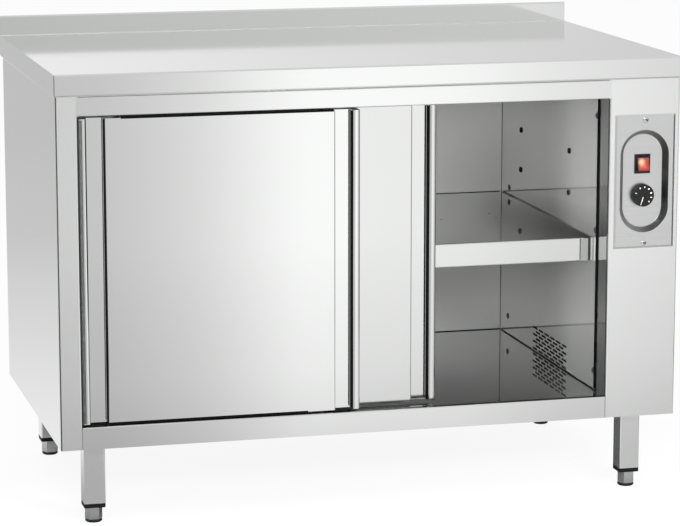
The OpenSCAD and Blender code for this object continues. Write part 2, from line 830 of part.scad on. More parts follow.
module control_plate() color(bright)
    difference() {
        translate([plate_x, plate_y, plate_z]) {
            plate_face();
            dish_shell();
        }
        plate_screw_places()
            bar_y([0, plate_y - over, 0], plate_screw_d + 2 * run, plate_rise + 2 * over);
        bar_y([plate_x, dish_floor_y - over, knob_z], bush_d + 2 * run, plate_sheet + 2 * over);
        switch_block(switch_w - 2 * switch_wall + 2 * run, switch_h - 2 * switch_wall + 2 * run,
            [dish_floor_y - over, dish_back_y + over]);
    }

module plate_screws() color("#b9bcbe")
    plate_screw_places() {
        bar_y([0, plate_y - plate_screw_head_h, 0], plate_screw_head_d, plate_screw_head_h);
        bar_y([0, plate_y - plate_screw_head_h, 0], plate_screw_d, plate_screw_tail);
    }

// A block on the switch's axis
module switch_block(w, h, y)
    span([plate_x - w / 2, plate_x + w / 2], y, [switch_z - h / 2, switch_z + h / 2]);

// Switch body: a bezel on the dish's floor and a tray behind it that holds the rocker
module switch_body() color(black)
    difference() {
        union() {
            switch_block(switch_w, switch_h, [dish_floor_y - bezel_t, dish_floor_y]);
            switch_block(switch_w - 2 * switch_wall, switch_h - 2 * switch_wall,
                [dish_floor_y - bezel_t, dish_floor_y + switch_tray + switch_back]);
        }
        switch_block(switch_w - 2 * bezel_border, switch_h - 2 * bezel_border,
            [dish_floor_y - bezel_t - over, dish_floor_y + switch_tray]);
    }

// Rocker: a drum segment that turns about its pivot, cut by two faces in a shallow V
module rocker_section() {
    reach = 2 * rocker_r;
    intersection() {
        circle(rocker_r);
        polygon([[rocker_core, -reach], [rocker_core, reach],
            [-rocker_core - reach * tan(rocker_tilt), reach], [-rocker_core, 0],
            [-rocker_core - reach * tan(rocker_tilt), -reach]]);
    }
}

module switch_rocker() color("#d9523a") {
    w = switch_w - 2 * bezel_border - 2 * clear;
    translate([plate_x, pivot_y, switch_z])
        rotate([-rocker_tilt, 0, 0])
            along_x([-w / 2, w / 2]) rocker_section();
}

module thermostat_body() color("#c7c2b4") {
    translate([plate_x, 0, knob_z])
        span([-thermostat_w / 2, thermostat_w / 2], [dish_back_y, dish_back_y + thermostat_t],
            [-thermostat_w / 2, thermostat_w / 2]);
    difference() {
        bar_y([plate_x, dish_floor_y - bush_nut_t, knob_z], bush_d, bush_nut_t + plate_sheet);
        bar_y([plate_x, dish_floor_y - over, knob_z], shaft_d + 2 * run, plate_sheet + over);
    }
}

module thermostat_shaft() color("#9a9da0")
    bar_y([plate_x, dish_floor_y - knob_gap - knob_h + knob_cap, knob_z], shaft_d,
        knob_h - knob_cap + knob_gap + plate_sheet - run);

module thermostat_knob() color("#2c2c2e")
    translate([plate_x, dish_floor_y - knob_gap, knob_z])
        rotate([90, 0, 0])
            difference() {
                union() {
                    cylinder(d = knob_d, h = knob_h - knob_chamfer);
                    translate([0, 0, knob_h - knob_chamfer])
                        cylinder(d1 = knob_d, d2 = knob_d - 2 * knob_chamfer, h = knob_chamfer);
                }
                translate([0, 0, -over]) cylinder(d = shaft_d, h = knob_h - knob_cap + over);
            }

// Heater: a duct bolted behind the vents, with the rotor in its round back
module blower_housing() color(steel) {
    ends = [vent_y - duct_l / 2, vent_y + duct_l / 2];
    mouth = vent_h / 2 + duct_wall;
    back_r = rotor_d / 2 + rotor_gap;
    wall_back = wall_x[1] + sheet;
    difference() {
        along_y([ends[0] - duct_wall, ends[1] + duct_wall])
            duct_outline(wall_back, mouth + duct_wall, back_r + duct_wall);
        along_y(ends)
            duct_outline(wall_back - over, mouth, back_r);
        bar_y([rotor_axis[0], ends[1] - over, rotor_axis[1]], motor_boss_d + 2 * clear,
            duct_wall + 2 * over);
        bar_y([rotor_axis[0], ends[0] - duct_wall - over, rotor_axis[1]], motor_shaft_d + 2 * run,
            duct_wall + 2 * over);
        for (z = rod_zs)
            bar_y([rod_x, ends[0] - duct_wall - over, z], rod_d + 2 * run, duct_wall + 2 * over);
    }
}

// Duct in X and Z: a straight mouth against the wall that runs into a round back
module duct_outline(x, half, r) {
    translate([x, vent_z - half]) square([rotor_axis[0] - x, 2 * half]);
    translate(rotor_axis) circle(r);
}

module blower_motor() color("#6e7174") {
    face_y = vent_y + duct_l / 2 + duct_wall;
    difference() {
        union() {
            bar_y([rotor_axis[0], face_y, rotor_axis[1]], motor_d, motor_l);
            bar_y([rotor_axis[0], face_y - motor_boss_l, rotor_axis[1]], motor_boss_d, motor_boss_l);
        }
        bar_y([rotor_axis[0], face_y - motor_boss_l - over, rotor_axis[1]],
            motor_shaft_d + 2 * run, motor_l / 2 + motor_boss_l);
    }
}

// Rotor: leaning blades between two discs, on a shaft that runs from the motor to the far end
module blower_rotor() color("#b4b8bb") {
    length = rotor_l - motor_boss_l;
    ends = [vent_y - rotor_l / 2, vent_y - rotor_l / 2 + length];
    for (y = [ends[0], ends[1] - rotor_disc_t])
        bar_y([rotor_axis[0], y, rotor_axis[1]], rotor_d, rotor_disc_t);
    bar_y([rotor_axis[0], ends[0] - rotor_gap - duct_wall, rotor_axis[1]], motor_shaft_d,
        length + rotor_gap + duct_wall + motor_l / 2);
    bar_y([rotor_axis[0], ends[1] - hub_l, rotor_axis[1]], hub_d, hub_l);
    along_y(ends)
        translate(rotor_axis)
            for (i = [0:rotor_blades - 1])
                rotate(i * 360 / rotor_blades)
                    translate([rotor_d / 2 - blade_l, 0])
                        rotate(blade_lean)
                            square([blade_l - blade_t, blade_t]);
}

// Heating element: two finned rods joined by a bend
rod_zs = [vent_z - rod_pitch / 2, vent_z + rod_pitch / 2];
rod_l = rod_l_share * rotor_l;

module heating_element() color("#5c4a40") {
    bend_y = vent_y - duct_l / 2 + rotor_gap + rod_l;
    start_y = vent_y - duct_l / 2 - duct_wall - rod_tail;
    for (z = rod_zs) {
        bar_y([rod_x, start_y, z], rod_d, bend_y - start_y);
        for (i = [1:fin_count])
            bar_y([rod_x, bend_y - i * rod_l / (fin_count + 1), z], fin_d, fin_t);
    }
    translate([rod_x, bend_y, vent_z])
        rotate([0, 90, 0])
            rotate_extrude(angle = 180)
                translate([rod_pitch / 2, 0]) circle(d = rod_d);
}

module terminal_block() color("#e6e4da")
    difference() {
        at = [gland_x, y_rear - sheet - block_inset - block_w, z_base + sheet];
        span([at[0] - block_l / 2, at[0] + block_l / 2], [at[1], at[1] + block_w],
            [at[2], at[2] + block_h]);
        for (i = [0:terminal_count - 1])
            translate([at[0] + (i + 1 / 2) * block_l / terminal_count - block_l / 2,
                at[1] + block_w / 2, at[2] + block_h / 2])
                cylinder(d = terminal_d, h = block_h);
    }

// Gland: hexagon and dome outside the back panel, thread through it, nut inside
module cable_gland() color("#2b2b2d")
    translate([gland_x, y_rear, gland_z])
        rotate([-90, 0, 0])
            difference() {
                union() {
                    cylinder(d = gland_hex_d, h = gland_hex_t, $fn = 6);
                    translate([0, 0, gland_hex_t])
                        cylinder(d1 = gland_d, d2 = gland_bore_d + gland_hex_t, h = gland_dome_l);
                    translate([0, 0, -gland_tail]) cylinder(d = gland_d, h = gland_tail);
                    translate([0, 0, -sheet - gland_nut_t])
                        cylinder(d = gland_hex_d, h = gland_nut_t, $fn = 6);
                }
                translate([0, 0, -gland_tail - over])
                    cylinder(d = gland_bore_d, h = gland_tail + gland_hex_t + gland_dome_l + 2 * over);
            }

// Places children at one corner's leg
module at_corner(corner)
    translate([leg_xs[corner % 2], leg_ys[floor(corner / 2)], 0])
        children();

module leg(corner) color(bright)
    at_corner(corner)
        along_z([leg_z, z_base])
            difference() {
                rounded([-leg_w / 2, -leg_w / 2], [leg_w / 2, leg_w / 2], leg_r);
                rounded([leg_wall - leg_w / 2, leg_wall - leg_w / 2],
                    [leg_w / 2 - leg_wall, leg_w / 2 - leg_wall], leg_r - leg_wall);
            }

// Plug: a collar under the tube and a block inside it, bored for the foot's stem
module leg_plugs() color(black)
    for (corner = [0:3])
        at_corner(corner)
            difference() {
                union() {
                    along_z([foot_h, leg_z])
                        rounded([-leg_w / 2, -leg_w / 2], [leg_w / 2, leg_w / 2], leg_r);
                    along_z([leg_z, leg_z + plug_h])
                        rounded([-plug_half, -plug_half], [plug_half, plug_half], leg_r - leg_wall);
                }
                translate([0, 0, foot_h - over])
                    cylinder(d = stem_d + 2 * run, h = plug_collar_h + plug_h + 2 * over);
            }

module foot(corner) color("#8f9295")
    at_corner(corner) {
        translate([0, 0, pad_h])
            cylinder(d = hex_d, h = foot_h - clear - pad_h, $fn = 6);
        translate([0, 0, pad_h]) cylinder(d = stem_d, h = stem_top - pad_h);
    }

module foot_pad(corner) color(black)
    at_corner(corner)
        rotate_extrude()
            polygon([[0, 0], [pad_d / 2 - pad_chamfer, 0], [pad_d / 2, pad_chamfer],
                [pad_d / 2, pad_h - pad_neck], [pad_d / 2 - pad_neck, pad_h], [0, pad_h]]);

worktop();
worktop_stiffeners();
left_side_panel();
right_side_panel();
back_panel();
base_panel();
floor_panel();
ceiling_panel();
left_inner_wall();
right_inner_wall();
left_stile();
control_column();
top_rail();
bottom_rail();
door_track();
door_guide();
door_skin(front_door_x, front_door_y);  // front_door_skin
door_back(front_door_x, front_door_y);  // front_door_back
door_core(front_door_x, front_door_y);  // front_door_core
door_rails(front_door_x, front_door_y);  // front_door_rails
door_hangers(front_door_x, front_door_y);  // front_door_hangers
door_skin(rear_door_x, rear_door_y);  // rear_door_skin
door_back(rear_door_x, rear_door_y);  // rear_door_back
door_core(rear_door_x, rear_door_y);  // rear_door_core
door_rails(rear_door_x, rear_door_y);  // rear_door_rails
door_hangers(rear_door_x, rear_door_y);  // rear_door_hangers
for (end = [0, 1]) {
    door_roller(front_door_x, front_door_y, end);
    door_roller(rear_door_x, rear_door_y, end);
}
shelf();
shelf_stiffener();
shelf_pins();
wall_screws();
control_plate();
plate_screws();
switch_body();
switch_rocker();
thermostat_body();
thermostat_shaft();
thermostat_knob();
blower_housing();
blower_motor();
blower_rotor();
heating_element();
terminal_block();
cable_gland();
leg_plugs();
for (corner = [0:3]) {
    leg(corner);
    foot(corner);
    foot_pad(corner);
}
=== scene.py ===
"""Looks of a stainless hot cupboard with two sliding doors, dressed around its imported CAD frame."""
import json
import math

import bpy
from mathutils import Matrix, Vector


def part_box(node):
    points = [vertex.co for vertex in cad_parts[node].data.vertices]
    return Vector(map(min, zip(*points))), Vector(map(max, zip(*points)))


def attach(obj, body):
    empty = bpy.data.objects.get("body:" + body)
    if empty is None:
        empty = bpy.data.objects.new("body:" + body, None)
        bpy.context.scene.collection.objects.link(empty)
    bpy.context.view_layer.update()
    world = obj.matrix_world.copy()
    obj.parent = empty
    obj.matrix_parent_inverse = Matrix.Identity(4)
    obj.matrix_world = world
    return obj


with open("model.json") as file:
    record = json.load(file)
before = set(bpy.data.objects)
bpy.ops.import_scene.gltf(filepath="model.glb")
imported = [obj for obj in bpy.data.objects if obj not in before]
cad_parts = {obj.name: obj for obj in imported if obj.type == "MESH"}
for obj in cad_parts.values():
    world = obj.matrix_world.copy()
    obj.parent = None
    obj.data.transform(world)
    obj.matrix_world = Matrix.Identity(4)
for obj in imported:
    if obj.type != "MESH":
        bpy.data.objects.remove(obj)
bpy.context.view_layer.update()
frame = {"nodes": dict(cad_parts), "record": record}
nodes = frame["nodes"]

# Sizes and places on the cupboard are in millimetres, those of the studio in metres.
MM = 0.001
X, Y, Z = range(3)
LOW, HIGH = range(2)
FRONT, REAR, RIGHT, LEFT, UP = (0, -1, 0), (0, 1, 0), (1, 0, 0), (-1, 0, 0), (0, 0, 1)
CORNERS = ("front_left", "front_right", "rear_left", "rear_right")
MIX_FACTOR, MIX_A, MIX_B, MIX_OUT = 0, 6, 7, 2  # sockets of a Mix node that mixes colours


def edge(node, axis, side):
    """Where a CAD node ends along an axis, in mm."""
    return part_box(node)[side][axis] / MM


def middle_of(node, axis):
    """The middle of a CAD node along an axis, in mm."""
    return (edge(node, axis, LOW) + edge(node, axis, HIGH)) / 2


# Shader helpers

def linear(hex_colour):
    """The linear RGBA of an sRGB hex colour."""
    values = [int(hex_colour[i:i + 2], 16) / 255 for i in (1, 3, 5)]
    return (*[v / 12.92 if v <= 0.04045 else ((v + 0.055) / 1.055) ** 2.4 for v in values], 1.0)


def add(tree, kind, inputs=None, **settings):
    """Adds one node. settings are its properties, inputs its sockets: a value to set, or a socket to link."""
    node = tree.nodes.new(kind)
    for name, value in settings.items():
        setattr(node, name, value)
    for name, value in (inputs or {}).items():
        if isinstance(value, bpy.types.NodeSocket):
            tree.links.new(value, node.inputs[name])
        else:
            node.inputs[name].default_value = value
    return node


def ramp(node, stops):
    """Sets a Color Ramp's stops: (position, grey or linear RGBA)."""
    elements = node.color_ramp.elements
    while len(elements) < len(stops):
        elements.new(0.5)
    for element, (position, tone) in zip(elements, stops):
        element.position = position
        element.color = tone if isinstance(tone, tuple) else (tone, tone, tone, 1)
    return node


def new_material(name):
    """An empty node material and its Material Output."""
    material = bpy.data.materials.new(name)
    material.use_nodes = True
    material.node_tree.nodes.clear()
    return material, add(material.node_tree, "ShaderNodeOutputMaterial")


def leaning(tree, axis, stops):
    """A mask of the faces whose normal leans along an axis by the shares that stops picks, and the normal."""
    normal = add(tree, "ShaderNodeSeparateXYZ", {"Vector": add(tree, "ShaderNodeTexCoord").outputs["Normal"]})
    lean = add(tree, "ShaderNodeMath", {0: normal.outputs[axis]}, operation="ABSOLUTE")
    mask = ramp(add(tree, "ShaderNodeValToRGB", {"Fac": lean.outputs[0]}), stops)
    return mask.outputs["Color"], normal


def faded(tree, mask, tone):
    """A factor that is tone where the mask is 1, and 1 where it is 0."""
    loss = add(tree, "ShaderNodeMath", {0: tone, 1: 1.0}, operation="SUBTRACT")
    return add(tree, "ShaderNodeMath", {0: mask, 1: loss.outputs[0], 2: 1.0}, operation="MULTIPLY_ADD").outputs[0]


def dish_wall_shade(tree, right_wall, left_wall):
    """Painted shade on the sloped wall of a dish in a front face: a tone set by the way the wall faces, from its
    right to its left.
    """
    walls, normal = leaning(tree, "Y", [(0.2, 0.0), (0.45, 1.0), (0.74, 1.0), (0.87, 0.0)])
    tone = add(tree, "ShaderNodeMapRange", {
        "Value": normal.outputs["X"], "From Min": -0.75, "From Max": 0.75, "To Min": right_wall, "To Max": left_wall})
    return faded(tree, walls, tone.outputs["Result"])


def corner_shade(tree, place, corners, reach, dull):
    """Painted shade: a tone that falls to dull at the two front corners of a sheet.

    corners holds the middle between them in X, half their spacing and their Y, and reach how far the wear
    spreads along X and Y, in mm.
    """
    middle, half, front = (c * MM for c in corners)
    from_middle = add(tree, "ShaderNodeVectorMath", {0: place, 1: (middle, front, 0)}, operation="SUBTRACT")
    either_side = add(tree, "ShaderNodeVectorMath", {0: from_middle.outputs[0]}, operation="ABSOLUTE")
    from_corner = add(tree, "ShaderNodeVectorMath", {0: either_side.outputs[0], 1: (half, 0, 0)},
                      operation="SUBTRACT")
    shares = add(tree, "ShaderNodeVectorMath", {
        0: from_corner.outputs[0], 1: (1 / (reach[X] * MM), 1 / (reach[Y] * MM), 0)}, operation="MULTIPLY")
    away = add(tree, "ShaderNodeVectorMath", {0: shares.outputs[0]}, operation="LENGTH")
    tone = add(tree, "ShaderNodeMapRange", {"Value": away.outputs["Value"], "To Min": dull, "To Max": 1.0})
    return tone.outputs["Result"]


def sheet_steel(name, colour, roughness, grain, wave, scatter=0.0, spread=0.25, dish=None, level=None, shaded_corners=None):
    """Rolled metal sheet: a fine grit line blurs its mirror and the sheet's own waves bend it.

    grain is the grit line's stretch along each axis, wave the height of the sheet's waves in mm, scatter the
    share of light that a brushed face sends every way, spread how unevenly the grit lies. dish holds the tones
    of the dish wall's painted shade, level is the tone of painted shade on faces that point up, and the last
    argument holds what the painted shade at two front corners takes. The grit line is drawn 1.2 mm wide,
    coarser than the real 0.1 mm, so that it shows.
    """
    grit_width, wave_length, smear_size = 1.2, 240, 90
    scratch_depth, scratch_strength = 0.02, 0.05
    material, out = new_material(name)
    tree = material.node_tree
    place = add(tree, "ShaderNodeTexCoord").outputs["Object"]
    along = add(tree, "ShaderNodeMapping", {"Vector": place, "Scale": grain})
    lines = add(tree, "ShaderNodeTexNoise", {
        "Vector": along.outputs["Vector"], "Scale": 1 / (grit_width * MM), "Detail": 3.0})
    waves = add(tree, "ShaderNodeTexNoise", {"Vector": place, "Scale": 1 / (wave_length * MM), "Detail": 1.0})
    smears = add(tree, "ShaderNodeTexNoise", {"Vector": place, "Scale": 1 / (smear_size * MM), "Detail": 4.0})
    blur = add(tree, "ShaderNodeMapRange", {
        "Value": lines.outputs["Fac"], "From Min": 0.3, "From Max": 0.7,
        "To Min": roughness * (1 - spread), "To Max": roughness * (1 + spread)})
    smear_blur = add(tree, "ShaderNodeMath", {
        0: smears.outputs["Fac"], 1: roughness * 0.3, 2: blur.outputs["Result"]}, operation="MULTIPLY_ADD")
    bend = add(tree, "ShaderNodeBump", {"Height": waves.outputs["Fac"], "Strength": 1.0, "Distance": wave * MM})
    scratch = add(tree, "ShaderNodeBump", {
        "Height": lines.outputs["Fac"], "Strength": scratch_strength * (1.0 - scatter),
        "Distance": scratch_depth * MM, "Normal": bend.outputs["Normal"]})
    shade = add(tree, "ShaderNodeBsdfPrincipled", {
        "Base Color": linear(colour), "Metallic": 1.0 - scatter, "Roughness": smear_blur.outputs["Value"],
        "Normal": scratch.outputs["Normal"]})
    tones = [dish_wall_shade(tree, *dish)] if dish else []
    if level:
        # Painted shade: faces that point up are darker.
        flats, _ = leaning(tree, "Z", [(0.74, 0.0), (0.87, 1.0)])
        tones.append(faded(tree, flats, level))
        if shaded_corners:
            tones.append(faded(tree, flats, corner_shade(tree, place, *shaded_corners)))
        tree.links.new(tones[-1], shade.inputs["Specular Tint"])  # the painted shade at a glancing angle too
    base = linear(colour)[:3]
    for tone in tones:
        base = add(tree, "ShaderNodeVectorMath", {0: base, "Scale": tone}, operation="SCALE").outputs["Vector"]
    if tones:
        tree.links.new(base, shade.inputs["Base Color"])
    tree.links.new(shade.outputs["BSDF"], out.inputs["Surface"])
    return material


def moulded(name, colour, roughness, grit, gloss=0.5):
    """Moulded plastic or rubber: a dull skin with a fine spark-eroded grit, a little paler where it is scuffed."""
    scuff_size, scuff_paler, grit_depth = 9, 1.35, 0.1
    material, out = new_material(name)
    tree = material.node_tree
    place = add(tree, "ShaderNodeTexCoord").outputs["Object"]
    skin = add(tree, "ShaderNodeTexNoise", {"Vector": place, "Scale": 1 / (grit * MM), "Detail": 2.0})
    scuffs = add(tree, "ShaderNodeTexNoise", {"Vector": place, "Scale": 1 / (scuff_size * MM), "Detail": 5.0})
    base = linear(colour)
    pale = tuple(c * scuff_paler for c in base[:3]) + (1.0,)
    tone = ramp(add(tree, "ShaderNodeValToRGB", {"Fac": scuffs.outputs["Fac"]}), [(0.45, base), (0.75, pale)])
    bump = add(tree, "ShaderNodeBump", {
        "Height": skin.outputs["Fac"], "Strength": 0.25, "Distance": grit_depth * MM})
    shade = add(tree, "ShaderNodeBsdfPrincipled", {
        "Base Color": tone.outputs["Color"], "Roughness": roughness, "Normal": bump.outputs["Normal"],
        "Specular IOR Level": gloss})
    tree.links.new(shade.outputs["BSDF"], out.inputs["Surface"])
    return material


def lit_lens(name, centre, shade_above, shade_left):
    """Red polycarbonate lens over a neon lamp: hottest at the lamp, with painted shade that is black and unlit above
    and at its left.

    centre is the lamp's place; the painted shade is black above one height and to the left of one X, in mm.
    """
    half_width, half_height, lamp_strength = 12.5, 15, 0.84
    material, out = new_material(name)
    tree = material.node_tree
    place = add(tree, "ShaderNodeTexCoord").outputs["Object"]
    offset = add(tree, "ShaderNodeVectorMath", {0: place, 1: [c * MM for c in centre]}, operation="SUBTRACT")
    flat = add(tree, "ShaderNodeVectorMath", {
        0: offset.outputs[0], 1: (1 / (half_width * MM), 0, 1 / (half_height * MM))}, operation="MULTIPLY")
    sides = add(tree, "ShaderNodeVectorMath", {0: flat.outputs[0]}, operation="ABSOLUTE")
    side = add(tree, "ShaderNodeSeparateXYZ", {"Vector": sides.outputs[0]})
    reach = add(tree, "ShaderNodeMath", {0: side.outputs["X"], 1: side.outputs["Z"], 2: 0.3},
                operation="SMOOTH_MAX")
    glow = ramp(add(tree, "ShaderNodeValToRGB", {"Fac": reach.outputs[0]}), [
        (share, linear(tone)) for share, tone in (
            (0.2, "#dc7f5a"), (0.4, "#cf6850"), (0.52, "#b0594e"), (0.64, "#864742"), (0.9, "#643835"))])
    spot = add(tree, "ShaderNodeVectorMath", {0: flat.outputs[0], 1: (-0.2, 0, 0.25)}, operation="DISTANCE")
    heat = add(tree, "ShaderNodeMapRange", {
        "Value": spot.outputs["Value"], "From Min": 0.1, "From Max": 0.6, "To Min": 1.0, "To Max": 0.0})
    hot = add(tree, "ShaderNodeMix", {
        MIX_FACTOR: heat.outputs["Result"], MIX_A: glow.outputs["Color"], MIX_B: linear("#fff0b8")},
        data_type="RGBA")
    at = add(tree, "ShaderNodeSeparateXYZ", {"Vector": place})
    # Painted shade: black and unlit above one height and to the left of one X.
    over = add(tree, "ShaderNodeMath", {0: at.outputs["Z"], 1: shade_above * MM}, operation="GREATER_THAN")
    beside = add(tree, "ShaderNodeMath", {0: at.outputs["X"], 1: shade_left * MM}, operation="LESS_THAN")
    rim = add(tree, "ShaderNodeMath", {0: over.outputs[0], 1: beside.outputs[0]}, operation="MAXIMUM")
    skin = add(tree, "ShaderNodeMix", {
        MIX_FACTOR: rim.outputs[0], MIX_A: linear("#57160f"), MIX_B: linear("#0d0d0e")}, data_type="RGBA")
    lamp = add(tree, "ShaderNodeMath", {0: lamp_strength, 1: rim.outputs[0]}, operation="SUBTRACT", use_clamp=True)
    shade = add(tree, "ShaderNodeBsdfPrincipled", {
        "Base Color": skin.outputs[MIX_OUT], "Roughness": 0.18, "Emission Color": hot.outputs[MIX_OUT],
        "Emission Strength": lamp.outputs[0]})
    tree.links.new(shade.outputs["BSDF"], out.inputs["Surface"])
    return material


# Finishes

ALONG_X, ALONG_Y, ALONG_Z = (0.02, 1, 1), (1, 0.02, 1), (1, 1, 0.02)
shelf_front_corners = (middle_of("shelf", X), 502, edge("shelf", Y, LOW))

# Bright annealed stainless, rolled to a mirror: the studio shows in it, drawn out a little along the grit.
polished = sheet_steel("bright_annealed_stainless", "#dddedd", 0.07, ALONG_X, wave=0.10)
upright = sheet_steel("bright_annealed_stainless_upright", "#dddedd", 0.08, ALONG_Z, wave=0.10, scatter=0.035)
# Painted shade: the rear door's skin is a darker copy of the front door's steel.
rear_skin = sheet_steel("bright_annealed_stainless_rear_door", "#d1d2d1", 0.08, ALONG_Z, wave=0.10)
# The bottom rail's upper face is darkened by painted shade that dims its reflection, its front stays bright.
low_rail = sheet_steel("bright_annealed_stainless_rail", "#dddedd", 0.07, ALONG_X, wave=0.10, level=0.45)
# Lining sheets: clear mirrors with a milky share of their own, which lights the inside. Their colour is painted
# light: paler than the other stainless, so that what they mirror reads brighter.
bright_lining = sheet_steel("bright_stainless_lining", "#e9e9e7", 0.05, ALONG_Z, wave=0.03, scatter=0.16)
bright_floor = sheet_steel("bright_stainless_floor", "#c6c7c6", 0.035, ALONG_X, wave=0.03, scatter=0.04)
# The shelf is the same sheet, with painted shade: darker on top, and darkest at its front corners.
bright_shelf = sheet_steel("bright_stainless_shelf", "#cfd0cf", 0.05, ALONG_X, wave=0.03, scatter=0.03, level=0.72,
                           shaded_corners=(shelf_front_corners, (175, 560), 0.26))
# Satin stainless, brushed: a soft even grey with no picture in it.
satin_back = sheet_steel("satin_stainless_back", "#c9cac9", 0.30, ALONG_Z, wave=0.05, scatter=0.45, spread=0.06)
# Satin stainless pressed into a dish: soft grey, with painted shade in dark bands on the dish's wall, darkest at its
# right.
satin_plate = sheet_steel("satin_stainless_pressing", "#d6d7d6", 0.30, ALONG_X, wave=0.03, dish=(0.24, 0.66))
# Bright zinc plate: greyer and softer than the stainless round it.
bright_zinc = sheet_steel("bright_zinc_plate", "#c4c5c5", 0.26, ALONG_X, wave=0.0, scatter=0.04)
# Ground steel: seams and welds dressed with a disc, duller and darker than the sheet.
ground_weld = sheet_steel("ground_weld", "#8d8f8e", 0.4, ALONG_Z, wave=0.0)
# Painted highlight: pale steel for the line of light along the upstand's fold.
fold_highlight = sheet_steel("painted_fold_highlight", "#cacbca", 0.35, ALONG_X, wave=0.0, scatter=0.25)
# Painted light: pale steel that lightens the shadow in the gap under the worktop's front edge.
painted_gap_light = sheet_steel("painted_gap_light", "#c2c3c2", 0.4, ALONG_X, wave=0.0, scatter=0.1)
spot_weld = sheet_steel("spot_weld", "#6c6d6d", 0.4, ALONG_Z, wave=0.0, scatter=0.4)
# Matt black, painted shade: black strips where the grip grooves, the lining's front edges, the gaps round the front
# door and the vent slots lie dark.
shade_black = moulded("painted_shade_black", "#060606", 0.9, grit=0.6, gloss=0.08)
# Greys of painted shade: dull dark lines in corners, at folds and along edges, and a painted reflection in dark grey
# on the front door's nose.
nose_shade_grey = moulded("painted_nose_shade", "#3a3b3b", 0.7, grit=0.6, gloss=0.2)
shade_line_dark = moulded("painted_shade_line_dark", "#2a2b2b", 0.6, grit=0.6, gloss=0.2)
shade_line_grey = moulded("painted_shade_line_grey", "#5f6060", 0.6, grit=0.6, gloss=0.2)
# The black inside of a recess, painted shade; and white pad-printed ink.
recess = moulded("recess_shadow", "#0e0e0f", 0.7, grit=0.5, gloss=0.2)
ink = moulded("white_pad_print", "#b9b9b4", 0.5, grit=0.5)

lamp_centre = (middle_of("switch_rocker", X) - 0.5, -338.5, middle_of("switch_rocker", Z))
finishes = {
    "polished_stainless": polished,
    # Mill-finish stainless: grey and cloudy, since nobody polishes what is hidden.
    "plain_stainless": sheet_steel("mill_finish_stainless", "#cfd0cf", 0.28, ALONG_X, wave=0.10),
    # Extruded aluminium: pale, with die lines along the track.
    "track_aluminium": sheet_steel("extruded_aluminium", "#d8d9da", 0.25, ALONG_X, wave=0.0),
    # Zinc-plated steel: a warmer, duller grey.
    "zinc_steel": sheet_steel("zinc_plated_steel", "#b6b5b2", 0.32, ALONG_Z, wave=0.0),
    # Moulded black nylon and phenolic: deep black with a faint sheen.
    "black_nylon": moulded("black_nylon", "#0b0b0c", 0.6, grit=0.8, gloss=0.25),
    "black_plastic": moulded("black_phenolic", "#121213", 0.5, grit=0.8, gloss=0.22),
    # Moulded white nylon and cream polyamide: pale and waxy.
    "white_nylon": moulded("white_nylon", "#e6e4de", 0.4, grit=0.8),
    "cream_plastic": moulded("cream_polyamide", "#d8d2c0", 0.45, grit=0.8),
    # Clear red polycarbonate, lit from behind: a hot spot that fades to dark red, with painted shade in black above
    # and at its left.
    "red_rocker": lit_lens("lit_red_polycarbonate", lamp_centre, edge("switch_rocker", Z, HIGH) - 3.7,
                           edge("switch_rocker", X, LOW) + 2.4),
    # Mineral wool: a matt yellow-brown felt.
    "mineral_wool": moulded("mineral_wool", "#a89a6a", 0.95, grit=2.0),
    # Sprayed motor paint: half-gloss grey.
    "motor_paint": moulded("motor_paint", "#5c6064", 0.4, grit=1.0),
    # Drawn heater tube: steel that heat has browned.
    "element_steel": sheet_steel("heater_tube_steel", "#8f8d8a", 0.35, ALONG_Y, wave=0.0),
    # Moulded black rubber: black and nearly matt.
    "black_rubber": moulded("black_rubber", "#0c0c0c", 0.6, grit=0.6),
}
node_finishes = {
    "left_inner_wall": bright_lining, "right_inner_wall": bright_lining, "ceiling_panel": bright_lining,
    "back_panel": satin_back, "floor_panel": bright_floor, "shelf": bright_shelf, "control_plate": satin_plate,
    "rear_door_skin": rear_skin, "bottom_rail": low_rail, "left_stile": upright, "control_column": upright,
    # Galvanised duct: dark spangled grey behind the slots.
    "blower_housing": sheet_steel("galvanised_duct", "#5c5d5d", 0.45, ALONG_Y, wave=0.05),
    **{"foot_" + corner: bright_zinc for corner in CORNERS},
    **{"leg_" + corner: upright for corner in CORNERS},
}
slot_of = {row["node"]: row["material_slot"] for row in frame["record"]["subparts"]}
for name, part in nodes.items():
    part.data.materials.clear()
    part.data.materials.append(node_finishes.get(name, finishes[slot_of[name]]))


# Details

def dress(name, mesh, body):
    """Makes a finished mesh a piece of the cupboard that rides on a body."""
    piece = bpy.data.objects.new(name, mesh)
    bpy.context.scene.collection.objects.link(piece)
    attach(piece, body)


